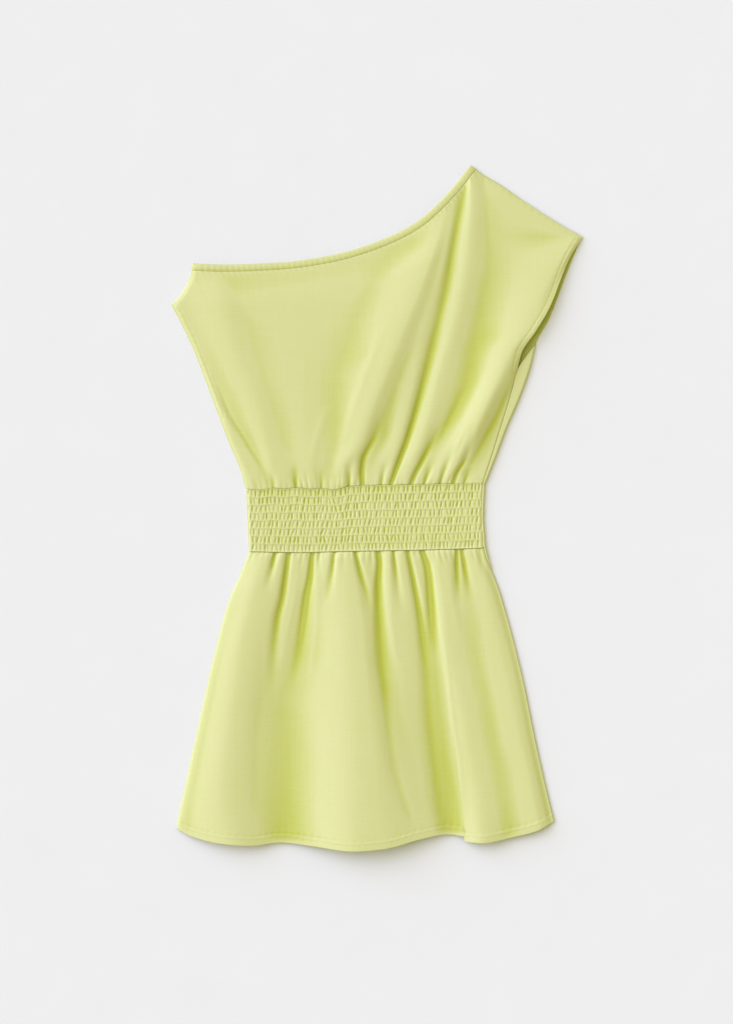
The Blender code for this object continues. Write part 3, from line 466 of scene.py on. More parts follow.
def hem_y(x):
    """The hem's edge from above, with the step where one flute lies over the next."""
    step_left, step_right = HEM_LEFT_OF_STEP[-1][0], HEM_RIGHT_OF_STEP[0][0]
    left_part = smooth_through(HEM_LEFT_OF_STEP, np.minimum(x, step_left))
    right_part = smooth_through(HEM_RIGHT_OF_STEP, np.maximum(x, step_right))
    return left_part + (right_part - left_part) * np.clip((x - step_left) / (step_right - step_left), 0, 1)


print("lowest point of the hem in mm:", round(float(hem_y(np.linspace(-249, 219, 400)).min()), 1))

# %% [markdown]
# ## The large folds of the bodice
# A fold line is the top or the bottom of a soft wave in the cloth, as rows of y, x and height. The bodice
# is pulled from the waist towards its one shoulder, so its waves fan out that way. They could be
# sculpted, but lines with names can be set against the photo one by one. The same lines shape the
# solids, so the cloth stays on them.

# %% Folds of the bodice
FoldLine = namedtuple("FoldLine", "name path")
BODICE_FOLDS = (
    FoldLine("side_crease", (
        (31, -136, 4.8), (75, -155, 4.8), (108, -175, 4.8), (168, -205, 5.0), (300, -262, 5.2))),
    FoldLine("corner_ridge", (
        (31, -122, 6.8), (84, -137, 7.8), (121, -146, 8.4), (196, -176, 9.0), (233, -186, 9.4),
        (270, -198, 9.2), (300, -214, 7.2))),
    FoldLine("corner_trough", (
        (31, -98, 6.2), (108, -118, 6.6), (171, -139, 7.2), (245, -160, 7.4), (292, -180, 6.4))),
    FoldLine("chest", ((31, -80, 7.2), (110, -92, 7.2), (200, -100, 7.2), (300, -105, 6.4))),
    FoldLine("centre_valley", (
        (31, -62, 6.0), (84, -55, 6.0), (158, -54, 5.8), (196, -42, 5.8), (233, -30, 6.0),
        (270, -14, 6.0), (307, 6, 5.8), (330, 24, 5.6))),
    FoldLine("left_crest", (
        (31, -42, 8.6), (57, -35, 9.2), (84, -21, 10.2), (121, -8, 11.8), (158, 7, 12.6), (196, 22, 12.8),
        (233, 37, 12.6), (270, 52, 12.0), (307, 66, 10.8), (344, 77, 9.0), (362, 82, 8.0))),
    FoldLine("split", (
        (31, -12, 5.8), (57, -5, 5.6), (84, 8, 5.6), (121, 18, 7.0), (158, 30, 8.4), (196, 44, 8.9),
        (233, 55, 9.4), (270, 68, 9.2), (307, 78, 8.6), (344, 87, 7.8), (362, 91, 7.2))),
    FoldLine("middle_crest", (
        (31, 8, 7.0), (57, 18, 7.0), (84, 26, 7.2), (121, 36, 7.9), (158, 44.6, 8.3), (196, 53, 8.3),
        (233, 62, 8.6), (270, 74, 8.4), (307, 83, 8.0), (344, 91, 7.3), (362, 95, 6.8))),
    FoldLine("main_trough", (
        (31, 20, 5.2), (57, 28.5, 5.3), (84, 40, 5.6), (121, 51.5, 5.8), (158, 61, 5.8), (196, 70, 5.8),
        (233, 78, 6.1), (270, 87, 6.2), (307, 93, 6.2), (344, 99, 5.9), (382, 106, 5.2), (405, 110, 4.6))),
    FoldLine("main_crest", (
        (31, 33, 7.2), (57, 43, 7.4), (84, 54.6, 7.6), (121, 67, 8.0), (158, 76, 8.0), (196, 87, 8.2),
        (233, 97, 8.5), (270, 105, 8.7), (307, 111.6, 8.7), (344, 115.3, 8.5), (382, 117, 8.1),
        (413, 116, 7.4))),
    FoldLine("right_valley", (
        (31, 50, 5.2), (57, 64.5, 5.0), (84, 78, 4.8), (121, 97, 4.6), (158, 111.6, 4.6), (196, 119, 4.6),
        (233, 128, 4.8), (270, 136.4, 5.0), (307, 142.6, 5.2), (344, 140, 5.4), (382, 138, 5.4),
        (405, 134, 5.0))),
    FoldLine("pleat_crest", (
        (31, 80, 7.4), (57, 101, 9.2), (84, 116, 11.4), (121, 132.5, 12.8), (158, 150, 12.8),
        (196, 168, 12.4), (219, 184, 12.2), (270, 208, 10.4), (308, 226, 8.6), (336, 246, 5.0))),
    FoldLine("pleat_valley", (
        (31, 106, 4.4), (44, 113, 4.4), (67, 126, 4.4), (93, 140, 4.4), (121, 155, 4.5), (160, 171, 4.8),
        (193, 178.6, 9.6), (219, 194.6, 12.0), (270, 215, 9.6), (308, 234, 7.8), (336, 251, 4.2))),
)
FRONT_RIGHT_HEIGHT = (
    (30.0, WRAP_TOP), (171.0, WRAP_TOP), (193.0, 9.4), (219.0, 11.6),
    (270.0, 8.6), (315.0, 5.2), (335.7, LAP_HEIGHT),
)
print("fold lines in the bodice:", len(BODICE_FOLDS))

# %% [markdown]
# ## The large folds of the skirt
# The skirt's waves start as gathers at the waist, grow as they run down and open into the flutes of the
# hem. The middle flute is the highest, because most of the cloth is pushed together there.

# %% Folds of the skirt
SKIRT_FOLDS = (
    FoldLine("crest_1", (
        (-420, -180, 15.4), (-362, -190, 13.4), (-325, -188, 12.6), (-288, -184, 12.0), (-251, -179, 11.4),
        (-214, -173, 11.0), (-176, -168, 10.6), (-108, -153, 9.2), (-54, -138, 6.6))),
    FoldLine("valley_1", (
        (-420, -115, 5.2), (-362, -115, 4.6), (-288, -114, 4.2), (-251, -113, 4.1), (-214, -107, 4.1),
        (-176, -98, 4.0), (-108, -90, 4.5), (-54, -86, 5.4))),
    FoldLine("crest_2", (
        (-425, -24, 22.0), (-362, -26, 20.2), (-325, -26, 19.0), (-288, -27, 17.6), (-251, -28, 16.0),
        (-214, -30, 14.2), (-176, -33, 12.4), (-108, -36, 9.8), (-54, -44, 7.8))),
    FoldLine("brow", (
        (-425, 6, 20.6), (-362, -1, 19.0), (-325, -4, 17.9), (-288, -7, 16.7), (-251, -10, 15.1),
        (-214, -13, 13.4), (-176, -17, 11.7), (-108, -22, 9.2), (-54, -30, 7.2))),
    FoldLine("middle_valley", (
        (-425, 56, 13.0), (-362, 37, 12.6), (-325, 31, 11.6), (-288, 25, 10.6), (-251, 19, 9.4),
        (-214, 12, 7.9), (-176, 7, 6.6), (-108, 4, 5.6), (-54, 2, 5.2))),
    FoldLine("middle_ridge", (
        (-425, 73, 10.0), (-362, 57, 9.0), (-325, 50, 8.3), (-288, 43, 7.8), (-251, 37, 7.5),
        (-214, 32, 7.2), (-176, 25, 7.3), (-108, 19, 7.4), (-54, 17, 6.8))),
    FoldLine("valley_2", (
        (-415, 94, 4.4), (-385, 91, 4.0), (-303, 81.4, 3.6), (-245, 75, 3.4), (-164, 69, 3.8),
        (-87, 62.5, 4.8), (-54, 55.6, 5.0))),
    FoldLine("crest_3", (
        (-415, 130, 13.6), (-385, 128, 11.2), (-362, 126, 9.8), (-325, 120, 8.6), (-288, 113, 7.9),
        (-251, 106, 7.5), (-214, 98, 7.3), (-176, 90, 7.4), (-108, 82, 7.8), (-54, 73, 7.4))),
    FoldLine("valley_3", (
        (-400, 168, 7.4), (-362, 163, 6.8), (-325, 157, 6.1), (-288, 147, 5.5), (-251, 141, 5.2),
        (-214, 133, 5.1), (-176, 125, 5.2), (-108, 116, 5.4), (-54, 104, 5.2))),
    FoldLine("crest_4", (
        (-400, 200, 8.2), (-362, 193, 7.8), (-325, 186, 7.2), (-288, 176, 6.8), (-251, 169, 6.6),
        (-214, 160, 6.4), (-176, 151, 6.3), (-108, 136, 6.1), (-54, 121, 5.8))),
)
print("fold lines in the skirt:", len(SKIRT_FOLDS))

# %% [markdown]
# ## A soft wave through the fold lines
# Across a panel the cloth is one smooth curve through its fold lines: level on a crest or in a valley,
# and falling on past a ledge. Straight stretches between the lines would leave creases like folded
# paper. This curve gives the round folds of soft cloth.

# %% Height between folds
NARROWEST_FOLD = 0.5


def height_between_folds(folds, left_edge, right_edge, x, y, left_slope=0.0):
    """Height of a soft wave through the fold lines, between two edges of (x, height).

    The wave is level at a crest or a valley and keeps falling past a ledge, without overshooting.
    It leaves its left edge with a share of the mean slope up to the first line."""
    lines = [left_edge] + [np.moveaxis(smooth_through(fold.path, y), -1, 0) for fold in folds] + [right_edge]
    places = [np.broadcast_to(line[0], np.shape(x)) for line in lines]
    heights = [np.broadcast_to(line[1], np.shape(x)) for line in lines]
    gaps = [np.maximum(after - before, NARROWEST_FOLD) for before, after in zip(places[:-1], places[1:])]
    slopes = [(after - before) / gap for before, after, gap in zip(heights[:-1], heights[1:], gaps)]
    tangents = [left_slope * slopes[0]]
    tangents += [level_at_turns(before, after) for before, after in zip(slopes[:-1], slopes[1:])]
    tangents.append(np.zeros(np.shape(x)))
    height = heights[0]
    for number, gap in enumerate(gaps):
        share = np.clip((x - places[number]) / gap, 0, 1)
        start_pull = tangents[number] * (share**3 - 2 * share**2 + share)
        end_pull = tangents[number + 1] * (share**3 - share**2)
        rise = (heights[number + 1] - heights[number]) * ease(share)
        read = heights[number] + rise + gap * (start_pull + end_pull)
        height = np.where(share > 0, read, height)
    return height


step_folds = (FoldLine("crest", ((0, 5, 4), (1, 5, 4))),)
middle = height_between_folds(step_folds, (0, 2), (10, 2), np.array([2.5, 5.0]), np.array([0.5, 0.5]))
print("half way up a crest and on it:", np.round(middle, 2))

# %% [markdown]
# ## Gathers at the waist
# Where a wide panel is sewn to the narrower elastic band, the cloth is gathered: short sharp creases
# start at the seam, lean with the pull of the cloth and fade out. The main ones were read off
# the photo, each with its own depth and width and a path of y and x.

# %% Main gathers, listed one by one
Gather = namedtuple("Gather", "depth width path")
BODICE_GATHERS = (
    Gather(2.2, 2.0, ((24, -128), (48, -131))),
    Gather(2.8, 2.1, ((24, -100), (56, -102))),
    Gather(2.0, 2.0, ((24, -69), (52, -69))),
    Gather(3.6, 2.3, ((26, -35), (44, -35), (66, -30))),
    Gather(4.8, 2.6, ((26, -17), (42, -18.5), (57, -17.5), (84, -6), (128, 9))),
    Gather(2.8, 2.1, ((28, 5), (42, 7.5), (64, 14))),
    Gather(4.6, 2.6, (
        (28, 17.5), (42, 22), (57, 27.5), (84, 37.5), (121, 48.5), (158, 58), (196, 67), (240, 78))),
    Gather(4.8, 2.4, ((28, 42), (42, 47.5), (57, 55.5), (84, 68), (112, 80))),
    Gather(2.8, 2.1, ((28, 58), (62, 70))),
    Gather(3.4, 2.3, ((29, 78), (42, 82), (57, 88), (80, 98))),
    Gather(3.8, 2.4, ((30, 94.5), (42, 98.5), (57, 107), (80, 116), (104, 124))),
    Gather(2.4, 2.0, ((30, 108.5), (52, 116))),
)
SKIRT_GATHERS = (
    Gather(3.2, 2.3, ((-110, -138), (-86, -133), (-54, -125.5))),
    Gather(4.2, 3.0, (
        (-250, -134), (-176, -128), (-139, -123.5), (-108, -116.5), (-87, -113.5), (-54, -109))),
    Gather(3.8, 3.0, ((-240, -111), (-176, -96), (-139, -90.5), (-108, -86.5), (-87, -82.5), (-54, -79.5))),
    Gather(1.6, 2.0, ((-92, -73), (-54, -72))),
    Gather(3.2, 2.4, ((-126, -64), (-84, -56.5), (-54, -52.5))),
    Gather(3.8, 2.6, ((-150, -7), (-108, -13.5), (-86, -19), (-54, -27))),
    Gather(4.2, 3.0, ((-214, 12), (-157, 4.5), (-98, 2), (-70, 3.5), (-54, 1.5))),
    Gather(3.6, 2.5, ((-140, 32), (-97, 25.5), (-54, 20.5))),
    Gather(3.8, 2.7, ((-230, 64), (-147, 55), (-91, 45.5), (-54, 38))),
    Gather(5.4, 2.9, ((-190, 72), (-107, 67), (-70, 62.5), (-54, 56))),
    Gather(3.4, 2.3, ((-130, 101), (-84, 99.5), (-54, 99))),
    Gather(3.2, 2.3, ((-120, 117), (-76, 109.5), (-54, 105.6))),
    Gather(2.0, 2.0, ((-84, 136), (-54, 128))),
)
GATHER_SPREAD = 1.9
print("gathers:", len(BODICE_GATHERS), "in the bodice and", len(SKIRT_GATHERS), "in the skirt")

# %% [markdown]
# ## Long soft creases
# Softer creases cross the panels further up and down. Some follow a trough and make it a little
# sharper, others are faint ridges between two gathers. No two have the same length, lift or spacing,
# because evenly spaced creases look machine made.

# %% Creases, listed one by one
# A crease is a ridge where its lift is positive and a trough where it is negative, as rows of y and x
Crease = namedtuple("Crease", "lift width path")
BODICE_CREASES = (
    Crease(-0.9, 5.0, ((392, 107), (344, 98), (270, 85), (233, 76), (196, 68), (150, 58))),
    Crease(-0.8, 3.0, ((152, -198), (118, -184), (84, -164), (60, -149), (40, -137))),
    Crease(0.6, 3.5, ((170, -212), (120, -192), (86, -173))),
    Crease(0.5, 6.0, ((230, 10), (150, -20), (70, -47))),
    Crease(-0.5, 4.5, ((150, 108), (110, 90), (60, 64))),
    Crease(0.4, 4.0, ((110, 116), (84, 104), (50, 88))),
    Crease(-0.4, 3.0, ((100, 112), (84, 106), (62, 96))),
    Crease(0.4, 5.0, ((130, -60), (80, -76), (45, -82))),
)
SKIRT_CREASES = (
    Crease(0.5, 3.0, ((-70, 68), (-128, 77), (-204, 88), (-262, 94), (-321, 103), (-400, 108.5))),
    Crease(-0.8, 7.0, ((-110, 50), (-184, 58), (-256, 64), (-323, 72), (-390, 80))),
    Crease(-1.0, 7.0, ((-130, 3), (-214, 8), (-251, 11), (-288, 15), (-325, 21), (-362, 32), (-405, 49))),
    Crease(-0.5, 8.0, ((-150, -138), (-215, -143), (-290, -150), (-380, -152))),
    Crease(0.5, 4.5, ((-56, -96), (-98, -100), (-160, -112), (-205, -120))),
    Crease(0.4, 4.0, ((-58, -74), (-110, -74), (-168, -78), (-215, -84))),
    Crease(0.4, 4.5, ((-58, 9), (-110, 14), (-160, 20), (-210, 30))),
    Crease(0.4, 4.0, ((-58, 47), (-110, 56), (-160, 62))),
    Crease(0.3, 8.0, ((-150, 128), (-230, 146), (-330, 166))),
    Crease(0.4, 5.0, ((-58, 86), (-110, 94), (-170, 104))),
)
print("creases:", len(BODICE_CREASES), "in the bodice and", len(SKIRT_CREASES), "in the skirt")

# %% [markdown]
# ## How gathers and creases change a height
# A gather is deepest and narrowest at its seam, and spreads as it fades. A crease fades at both its
# ends. Both are bells across their path, added to the height of the cloth, so they cross and merge
# without any cut in the mesh.

# %% Depth of gathers and lift of creases
GATHER_FADE = 1.5
CREASE_FADE = 0.7


def gather_depth(gathers, x, y, seam_y):
    """How far the gathers at a waist seam sink the cloth at each point."""
    depth = np.zeros_like(x)
    for gather in gathers:
        path = sorted(gather.path, key=lambda row: abs(row[0] - seam_y))
        length = abs(path[-1][0] - path[0][0])
        share = np.clip(np.abs(y - path[0][0]) / length, 0, 1)
        width = gather.width * (1 + GATHER_SPREAD * share)
        fade = (1 - share**GATHER_FADE) ** GATHER_FADE
        depth += gather.depth * bell(x - smooth_through(gather.path, y), width) * fade
    return depth


def crease_lift(creases, x, y):
    """Ridges and troughs that fade out at both their ends."""
    lift = np.zeros_like(x)
    for crease in creases:
        ends = sorted(row[0] for row in crease.path)
        share = np.clip((y - ends[0]) / (ends[-1] - ends[0]), 0, 1)
        along_crease = np.sin(np.pi * share) ** CREASE_FADE
        lift += crease.lift * bell(x - smooth_through(crease.path, y), crease.width) * along_crease
    return lift


at_seam = gather_depth(SKIRT_GATHERS[:1], np.array([-125.5]), np.array([-54.0]), -54.0)
print("depth of the first skirt gather at its seam in mm:", np.round(at_seam, 2))

# %% [markdown]
# ## Fine gathers
# Between the main gathers there are many small ones, because real gathering never leaves a gap.
# They are drawn with a fixed seed, so each has its own reach and depth and every run gives the same.

# %% Fine gathers
FIRST_GATHER = (2.0, 5.0)
LAST_GATHER_GAP = 4.0
GATHER_DRIFT = 1.5
FINE_GATHER_WIDTHS = (1.1, 1.9)


def small_gathers(seed, seam, way, lean, depths=(0.35, 1.1), reaches=(9.0, 30.0), pitches=(4.5, 9.5)):
    """Short gathers at uneven places along a seam (first x, last x, y); way is 1 upwards and -1 downwards."""
    draw = np.random.default_rng(seed)
    first_x, last_x, seam_y = seam
    made = []
    x = first_x + draw.uniform(*FIRST_GATHER)
    while x < last_x - LAST_GATHER_GAP:
        reach = draw.uniform(*reaches)
        slant = lean[0] + (lean[1] - lean[0]) * (x - first_x) / (last_x - first_x)
        end_x = x + reach * slant + draw.uniform(-GATHER_DRIFT, GATHER_DRIFT)
        width = draw.uniform(*FINE_GATHER_WIDTHS)
        made.append(Gather(draw.uniform(*depths), width, ((seam_y, x), (seam_y + way * reach, end_x))))
        x += draw.uniform(*pitches)
    return tuple(made)


FINE_BODICE_GATHERS = small_gathers(11, (-160.0, 130.0, 26.0), 1, (-0.35, 0.55))
FINE_SKIRT_GATHERS = small_gathers(23, (-157.0, 131.0, -54.0), -1, (-0.30, 0.35))
print("fine gathers:", len(FINE_BODICE_GATHERS), "in the bodice and", len(FINE_SKIRT_GATHERS), "in the skirt")

# %% [markdown]
# ## The sewn lines of the bodice
# The front lies over the back like a soft relief, so its shape is one number for each place: how high
# its outer face is. The cloth comes down along its side seam and its shoulders, so the relief needs
# those lines, and both armholes and the neckline, as rows of points to measure from.

# %% Sewn lines of the bodice
SIDE_ROUND = 7.0
SHOULDER_ROUND = 9.0

left_armhole_y = np.linspace(LEFT_ARMHOLE_BOTTOM, BODICE_LEFT[-1][0], 16)
LEFT_ARMHOLE_LINE = np.column_stack((bodice_left_seam(left_armhole_y), left_armhole_y))
right_armhole_y = np.linspace(RIGHT_ARMHOLE_BOTTOM, FRONT_ARMHOLE[-1][0], 24)
RIGHT_ARMHOLE_LINE = np.column_stack((smooth_through(FRONT_ARMHOLE, right_armhole_y), right_armhole_y))
NECK_LINE = along(NECKLINE, np.linspace(0, 1, 24))
SHOULDER_LINE = along(SHOULDER, np.linspace(0, 1, 8))
SHORT_SHOULDER_LINE = along(SHORT_SHOULDER, np.linspace(0, 1, 10))
left_side_y = np.linspace(BODICE_LEFT[0][0], BODICE_LEFT[-1][0], 16)
LEFT_SIDE_LINE = np.column_stack((bodice_left_seam(left_side_y), left_side_y))
BODICE_SEAMS = (
    (LEFT_SIDE_LINE, SIDE_ROUND), (SHORT_SHOULDER_LINE, SIDE_ROUND), (SHOULDER_LINE, SHOULDER_ROUND),
)
print("points on the seams:", sum(len(seam) for seam, _width in BODICE_SEAMS))

# %% [markdown]
# ## Stitched edges
# Each free edge is a turned hem. Its stitches press a shallow line into the cloth and pull small
# puckers across it. A bump in the finish could show this, but real height also catches the low light.

# %% Stitched edges of the bodice
NECK_PUCKER = 0.22
NECK_PUCKER_PITCH = 7.4
NECK_PUCKER_SWAY = (1.1, 23.0)
NECK_PUCKER_LEAN = 0.5
NECK_PUCKER_BELOW = 1.5
SHOULDER_LINE_INSET = 3.0
ARMHOLE_STITCH_INSET = 6.0
STITCH_GROOVE = 0.5
STITCH_GROOVE_WIDTH = 0.8
HEM_PUCKER = 0.10
SIDE_SEAM_DIP = 1.1
SIDE_SEAM_WIDTH = 1.4
HEM_PUCKER_PITCH = 8.5
HEM_PUCKER_SWAY = (1.3, 19.0)
SHOULDER_GROOVE = 0.45
SHORT_SHOULDER_GROOVE = 0.3
NECK_GROOVE = 0.12
NECK_GROOVE_WIDTH = 1.0
HEM_PUCKER_REACH = 4.0
NECK_PUCKER_REACH = 4.5


def uneven_ripple(position, pitch, sway):
    """A wave from -1 to 1 whose crests are a pitch apart on the whole, but never quite even."""
    return np.sin(2 * np.pi * position / pitch + sway[0] * np.sin(position / sway[1]))


def stitched_edge(distance, inset, position, groove=STITCH_GROOVE, pucker=HEM_PUCKER):
    """A line pressed in along a stitched edge, with small puckers that pull across it."""
    line = -groove * bell(distance - inset, STITCH_GROOVE_WIDTH)
    ripple = uneven_ripple(position, HEM_PUCKER_PITCH, HEM_PUCKER_SWAY)
    return line + pucker * ripple * bell(distance - inset, HEM_PUCKER_REACH)


def bodice_edges(x, y):
    """The sewn edges of the front bodice: both armholes, both shoulders and the neckline."""
    edges = stitched_edge(distance_to(LEFT_ARMHOLE_LINE, x, y), ARMHOLE_STITCH_INSET, y)
    edges += stitched_edge(distance_to(RIGHT_ARMHOLE_LINE, x, y), ARMHOLE_STITCH_INSET, y)
    edges += stitched_edge(distance_to(SHOULDER_LINE, x, y), SHOULDER_LINE_INSET, x, SHOULDER_GROOVE)
    from_short_shoulder = distance_to(SHORT_SHOULDER_LINE, x, y)
    edges += stitched_edge(from_short_shoulder, SHOULDER_LINE_INSET, y, SHORT_SHOULDER_GROOVE)
    below_neck = distance_to(NECK_LINE, x, y) - BINDING_WIDTH - NECK_DROP
    ripple = uneven_ripple(x + NECK_PUCKER_LEAN * y, NECK_PUCKER_PITCH, NECK_PUCKER_SWAY)
    edges += NECK_PUCKER * ripple * bell(below_neck - NECK_PUCKER_BELOW, NECK_PUCKER_REACH)
    edges -= NECK_GROOVE * bell(below_neck, NECK_GROOVE_WIDTH)
    from_side_seam = np.where(y < RIGHT_ARMHOLE_BOTTOM, bodice_right_seam(y) - x, SIDE_ROUND)
    return edges - SIDE_SEAM_DIP * bell(from_side_seam, SIDE_SEAM_WIDTH)


print("depth of a stitched line in mm:", round(-float(stitched_edge(0.0, 0.0, 0.0)), 2))

# %% [markdown]
# ## Rising from the waist seam
# A bodice blouses a little over its band: the cloth turns up sharply out of the seam and then rises
# slowly to its folds. The skirt below the band has only the sharp turn. One function serves both.

# %% Rise from the waist
BLOUSE_ROUND = 10.0
BLOUSE_REACH = 42.0
BLOUSE_SHARE = 0.45
WAIST_SEAM_HEIGHT = 4.1
GATHER_SHARE_AT_SEAM = 0.5


def rise_from_waist(height, gathers, above_seam, from_left, slow_share=0.0):
    """Bring a front panel down to its waist seam: a quick rounding, and a share of a slow rise."""
    seam_height = WAIST_SEAM_HEIGHT - GATHER_SHARE_AT_SEAM * gathers
    seam_height = LAP_HEIGHT + (seam_height - LAP_HEIGHT) * np.clip(from_left / SIDE_ROUND, 0, 1)
    quick = quarter_round(np.maximum(above_seam, 0), BLOUSE_ROUND)
    rise = quick * (1 - slow_share + slow_share * ease(above_seam / BLOUSE_REACH))
    return seam_height + (height - seam_height) * rise


half_way = rise_from_waist(np.array([10.0]), 0.0, np.array([5.0]), np.array([50.0]))
print("5 mm from the seam, cloth 10 mm high lies in mm:", np.round(half_way, 2))

# %% [markdown]
# ## The height of the front bodice
# The fold lines give the large form, the gathers and creases are added to it, and the edges bring it
# down to the table. Below the neckline the folds are partly held back, because the binding keeps the
# cloth flat there.

# %% Front bodice as a height
SEAM_EASE = 0.2
LEFT_EDGE_HEIGHT = 5.4
NECK_REST_HEIGHT = 3.7
NECK_FOLD_SHARE = ((-240.0, 0.35), (40.0, 0.4), (100.0, 0.85), (260.0, 0.85))
NECK_FADE = 45.0


def bodice_height(x, y):
    """Height of the front bodice's outer face."""
    left_edge = (bodice_left_seam(y), np.full_like(y, LEFT_EDGE_HEIGHT))
    right_edge = (bodice_right_seam(y), smooth_through(FRONT_RIGHT_HEIGHT, y))
    gathers = gather_depth(BODICE_GATHERS + FINE_BODICE_GATHERS, x, y, WAIST_TOP[0][1])
    height = height_between_folds(BODICE_FOLDS, left_edge, right_edge, x, y) - gathers
    height += crease_lift(BODICE_CREASES, x, y)
    at_neck = NECK_REST_HEIGHT + smooth_through(NECK_FOLD_SHARE, x) * (height - NECK_REST_HEIGHT)
    height = at_neck + (height - at_neck) * ease((distance_to(NECK_LINE, x, y) - BINDING_WIDTH) / NECK_FADE)
    for seam, width in BODICE_SEAMS:
        inside = np.maximum(distance_to(seam, x, y) - FRONT_INSET - SEAM_EASE, 0)
        height = LAP_HEIGHT + (height - LAP_HEIGHT) * quarter_round(inside, width)
    above_waist = y - front_seam(WAIST_TOP, x) - SEAM_GAP / 2
    height = rise_from_waist(height, gathers, above_waist, x - left_edge[0], BLOUSE_SHARE)
    return np.maximum(height + bodice_edges(x, y), LAP_HEIGHT)


print("height over the chest in mm:", np.round(bodice_height(np.array([-110.0]), np.array([200.0])), 2))

# %% [markdown]
# ## The upper edge of the bodice
# Three lines meet along the top: the short shoulder, the neckline and the long shoulder. The panel ends
# one binding's width below the neckline, where the binding takes over.

# %% Upper edge of the bodice
def bodice_top(columns, neck_corner, neck_point, drop):
    """The bodice's upper edge: the short shoulder, the neckline under its binding and the shoulder."""
    below_neck = BINDING_WIDTH + SEAM_GAP + drop
    neck_shares = columns[neck_corner:neck_point + 1] - columns[neck_corner]
    neck = along(NECKLINE, neck_shares / neck_shares[-1])
    neck_edge = neck + below_neck * right_hand_side(neck)
    short_shares = columns[:neck_corner + 1] / columns[neck_corner]
    short_shoulder = along(SHORT_SHOULDER, short_shares * (1 - below_neck / length_of(SHORT_SHOULDER)))
    short_shoulder[:, 0] += drop * short_shares
    shoulder_shares = (columns[neck_point:] - columns[neck_point]) / (1 - columns[neck_point])
    first = below_neck / length_of(SHOULDER)
    shoulder = along(SHOULDER, first + (1 - first) * shoulder_shares)
    shoulder[:, 1] -= drop * (1 - shoulder_shares)
    neck_edge[0], neck_edge[-1] = short_shoulder[-1], shoulder[0]
    return np.concatenate((short_shoulder[:-1], neck_edge, shoulder[1:])), neck


print("the neckline is left free for a binding of", BINDING_WIDTH, "mm")

# %% [markdown]
# ## The height of the front skirt
# The skirt is a relief too. Its flutes are highest at the hem, where the cloth has the most width to
# lie in. The hem is a turned edge: the doubled cloth stands a little proud, one row of stitches holds
# its fold and a second fainter one runs nearer the edge, and both pull small puckers into the cloth.

# %% Front skirt as a height
SKIRT_EDGE_RISE = 1.5
SKIRT_LEFT_SLOPE = 0.8
SKIRT_RIGHT_ROUND = 10.0
HEM_DEPTH = 12.4
HEM_LIFT = 0.45
HEM_STITCH_UP = 11.4
HEM_SECOND_UP = 7.0
HEM_FOLD_EASE = 0.8
HEM_SECOND_SHIFT = 3.0
HEM_SECOND_GROOVE, HEM_SECOND_PUCKER = 0.15, 0.05


def hem_relief(x, up):
    """The turned hem by the distance up from its edge."""
    band = HEM_LIFT * ease((HEM_DEPTH - up) / HEM_FOLD_EASE)
    upper_row = stitched_edge(up, HEM_STITCH_UP, x)
    place = x + HEM_SECOND_SHIFT
    lower_row = stitched_edge(up, HEM_SECOND_UP, place, HEM_SECOND_GROOVE, HEM_SECOND_PUCKER)
    return band + upper_row + lower_row


def skirt_height(x, y):
    """Height of the front skirt's outer face."""
    left, right = skirt_left_seam(y), skirt_right_seam(y)
    wrap = np.minimum(smooth_through(SKIRT_WRAP, y) / WRAP_REACH, 1)
    right_height = LAP_HEIGHT + (WRAP_TOP - LAP_HEIGHT) * wrap
    left_edge = (left, np.full_like(y, LAP_HEIGHT + SKIRT_EDGE_RISE))
    right_edge = (right, right_height + SKIRT_EDGE_RISE)
    gathers = gather_depth(SKIRT_GATHERS + FINE_SKIRT_GATHERS, x, y, WAIST_BOTTOM[0][1])
    height = height_between_folds(SKIRT_FOLDS, left_edge, right_edge, x, y, SKIRT_LEFT_SLOPE) - gathers
    height += crease_lift(SKIRT_CREASES, x, y)
    height = LAP_HEIGHT + (height - LAP_HEIGHT) * quarter_round(np.maximum(x - left, 0), SIDE_ROUND)
    height = right_height + (height - right_height) * ease((right - x) / SKIRT_RIGHT_ROUND)
    below_waist = smooth_through(WAIST_BOTTOM, x) - SEAM_GAP / 2 - y
    height = rise_from_waist(height, gathers, below_waist, x - left)
    height += hem_relief(x, y - hem_y(x)) - SIDE_SEAM_DIP * wrap * bell(right - x, SIDE_SEAM_WIDTH)
    return np.maximum(height, LAP_HEIGHT)


print("height of the middle flute in mm:", np.round(skirt_height(np.array([-24.0]), np.array([-400.0])), 2))

# %% [markdown]
# ## Painted shade in creases and folds
# Light that falls into a fold bounces from cloth to cloth and comes out a deeper green, and here that
# shade is painted into the cloth's colour. To know where, each height is set against the mean height
# around it: a short reach finds narrow creases and a long one finds wide folds. A blur by running sums
# keeps this quick on a large grid.

# %% Painted shade from the depth in a crease or a fold
# Reach, depth and share of the painted shade for narrow creases and for wide folds, and how far it fades in
# from the free edges, in grid steps
CREASE_REACH, CREASE_DEPTH, CREASE_SHARE = 4, 0.8, 0.48
FOLD_REACH, FOLD_DEPTH, FOLD_SHARE = 22, 1.8, 0.70
EDGE_FADE = 10


def box_blur(values, reach):
    for axis in (0, 1):
        margins = [(reach + 1, reach) if side == axis else (0, 0) for side in (0, 1)]
        padded = np.pad(values, margins, mode="edge")
        sums = np.cumsum(padded, axis=axis)
        ahead, behind = [slice(None)] * 2, [slice(None)] * 2
        ahead[axis], behind[axis] = slice(2 * reach + 1, None), slice(None, -2 * reach - 1)
        values = (sums[tuple(ahead)] - sums[tuple(behind)]) / (2 * reach + 1)
    return values


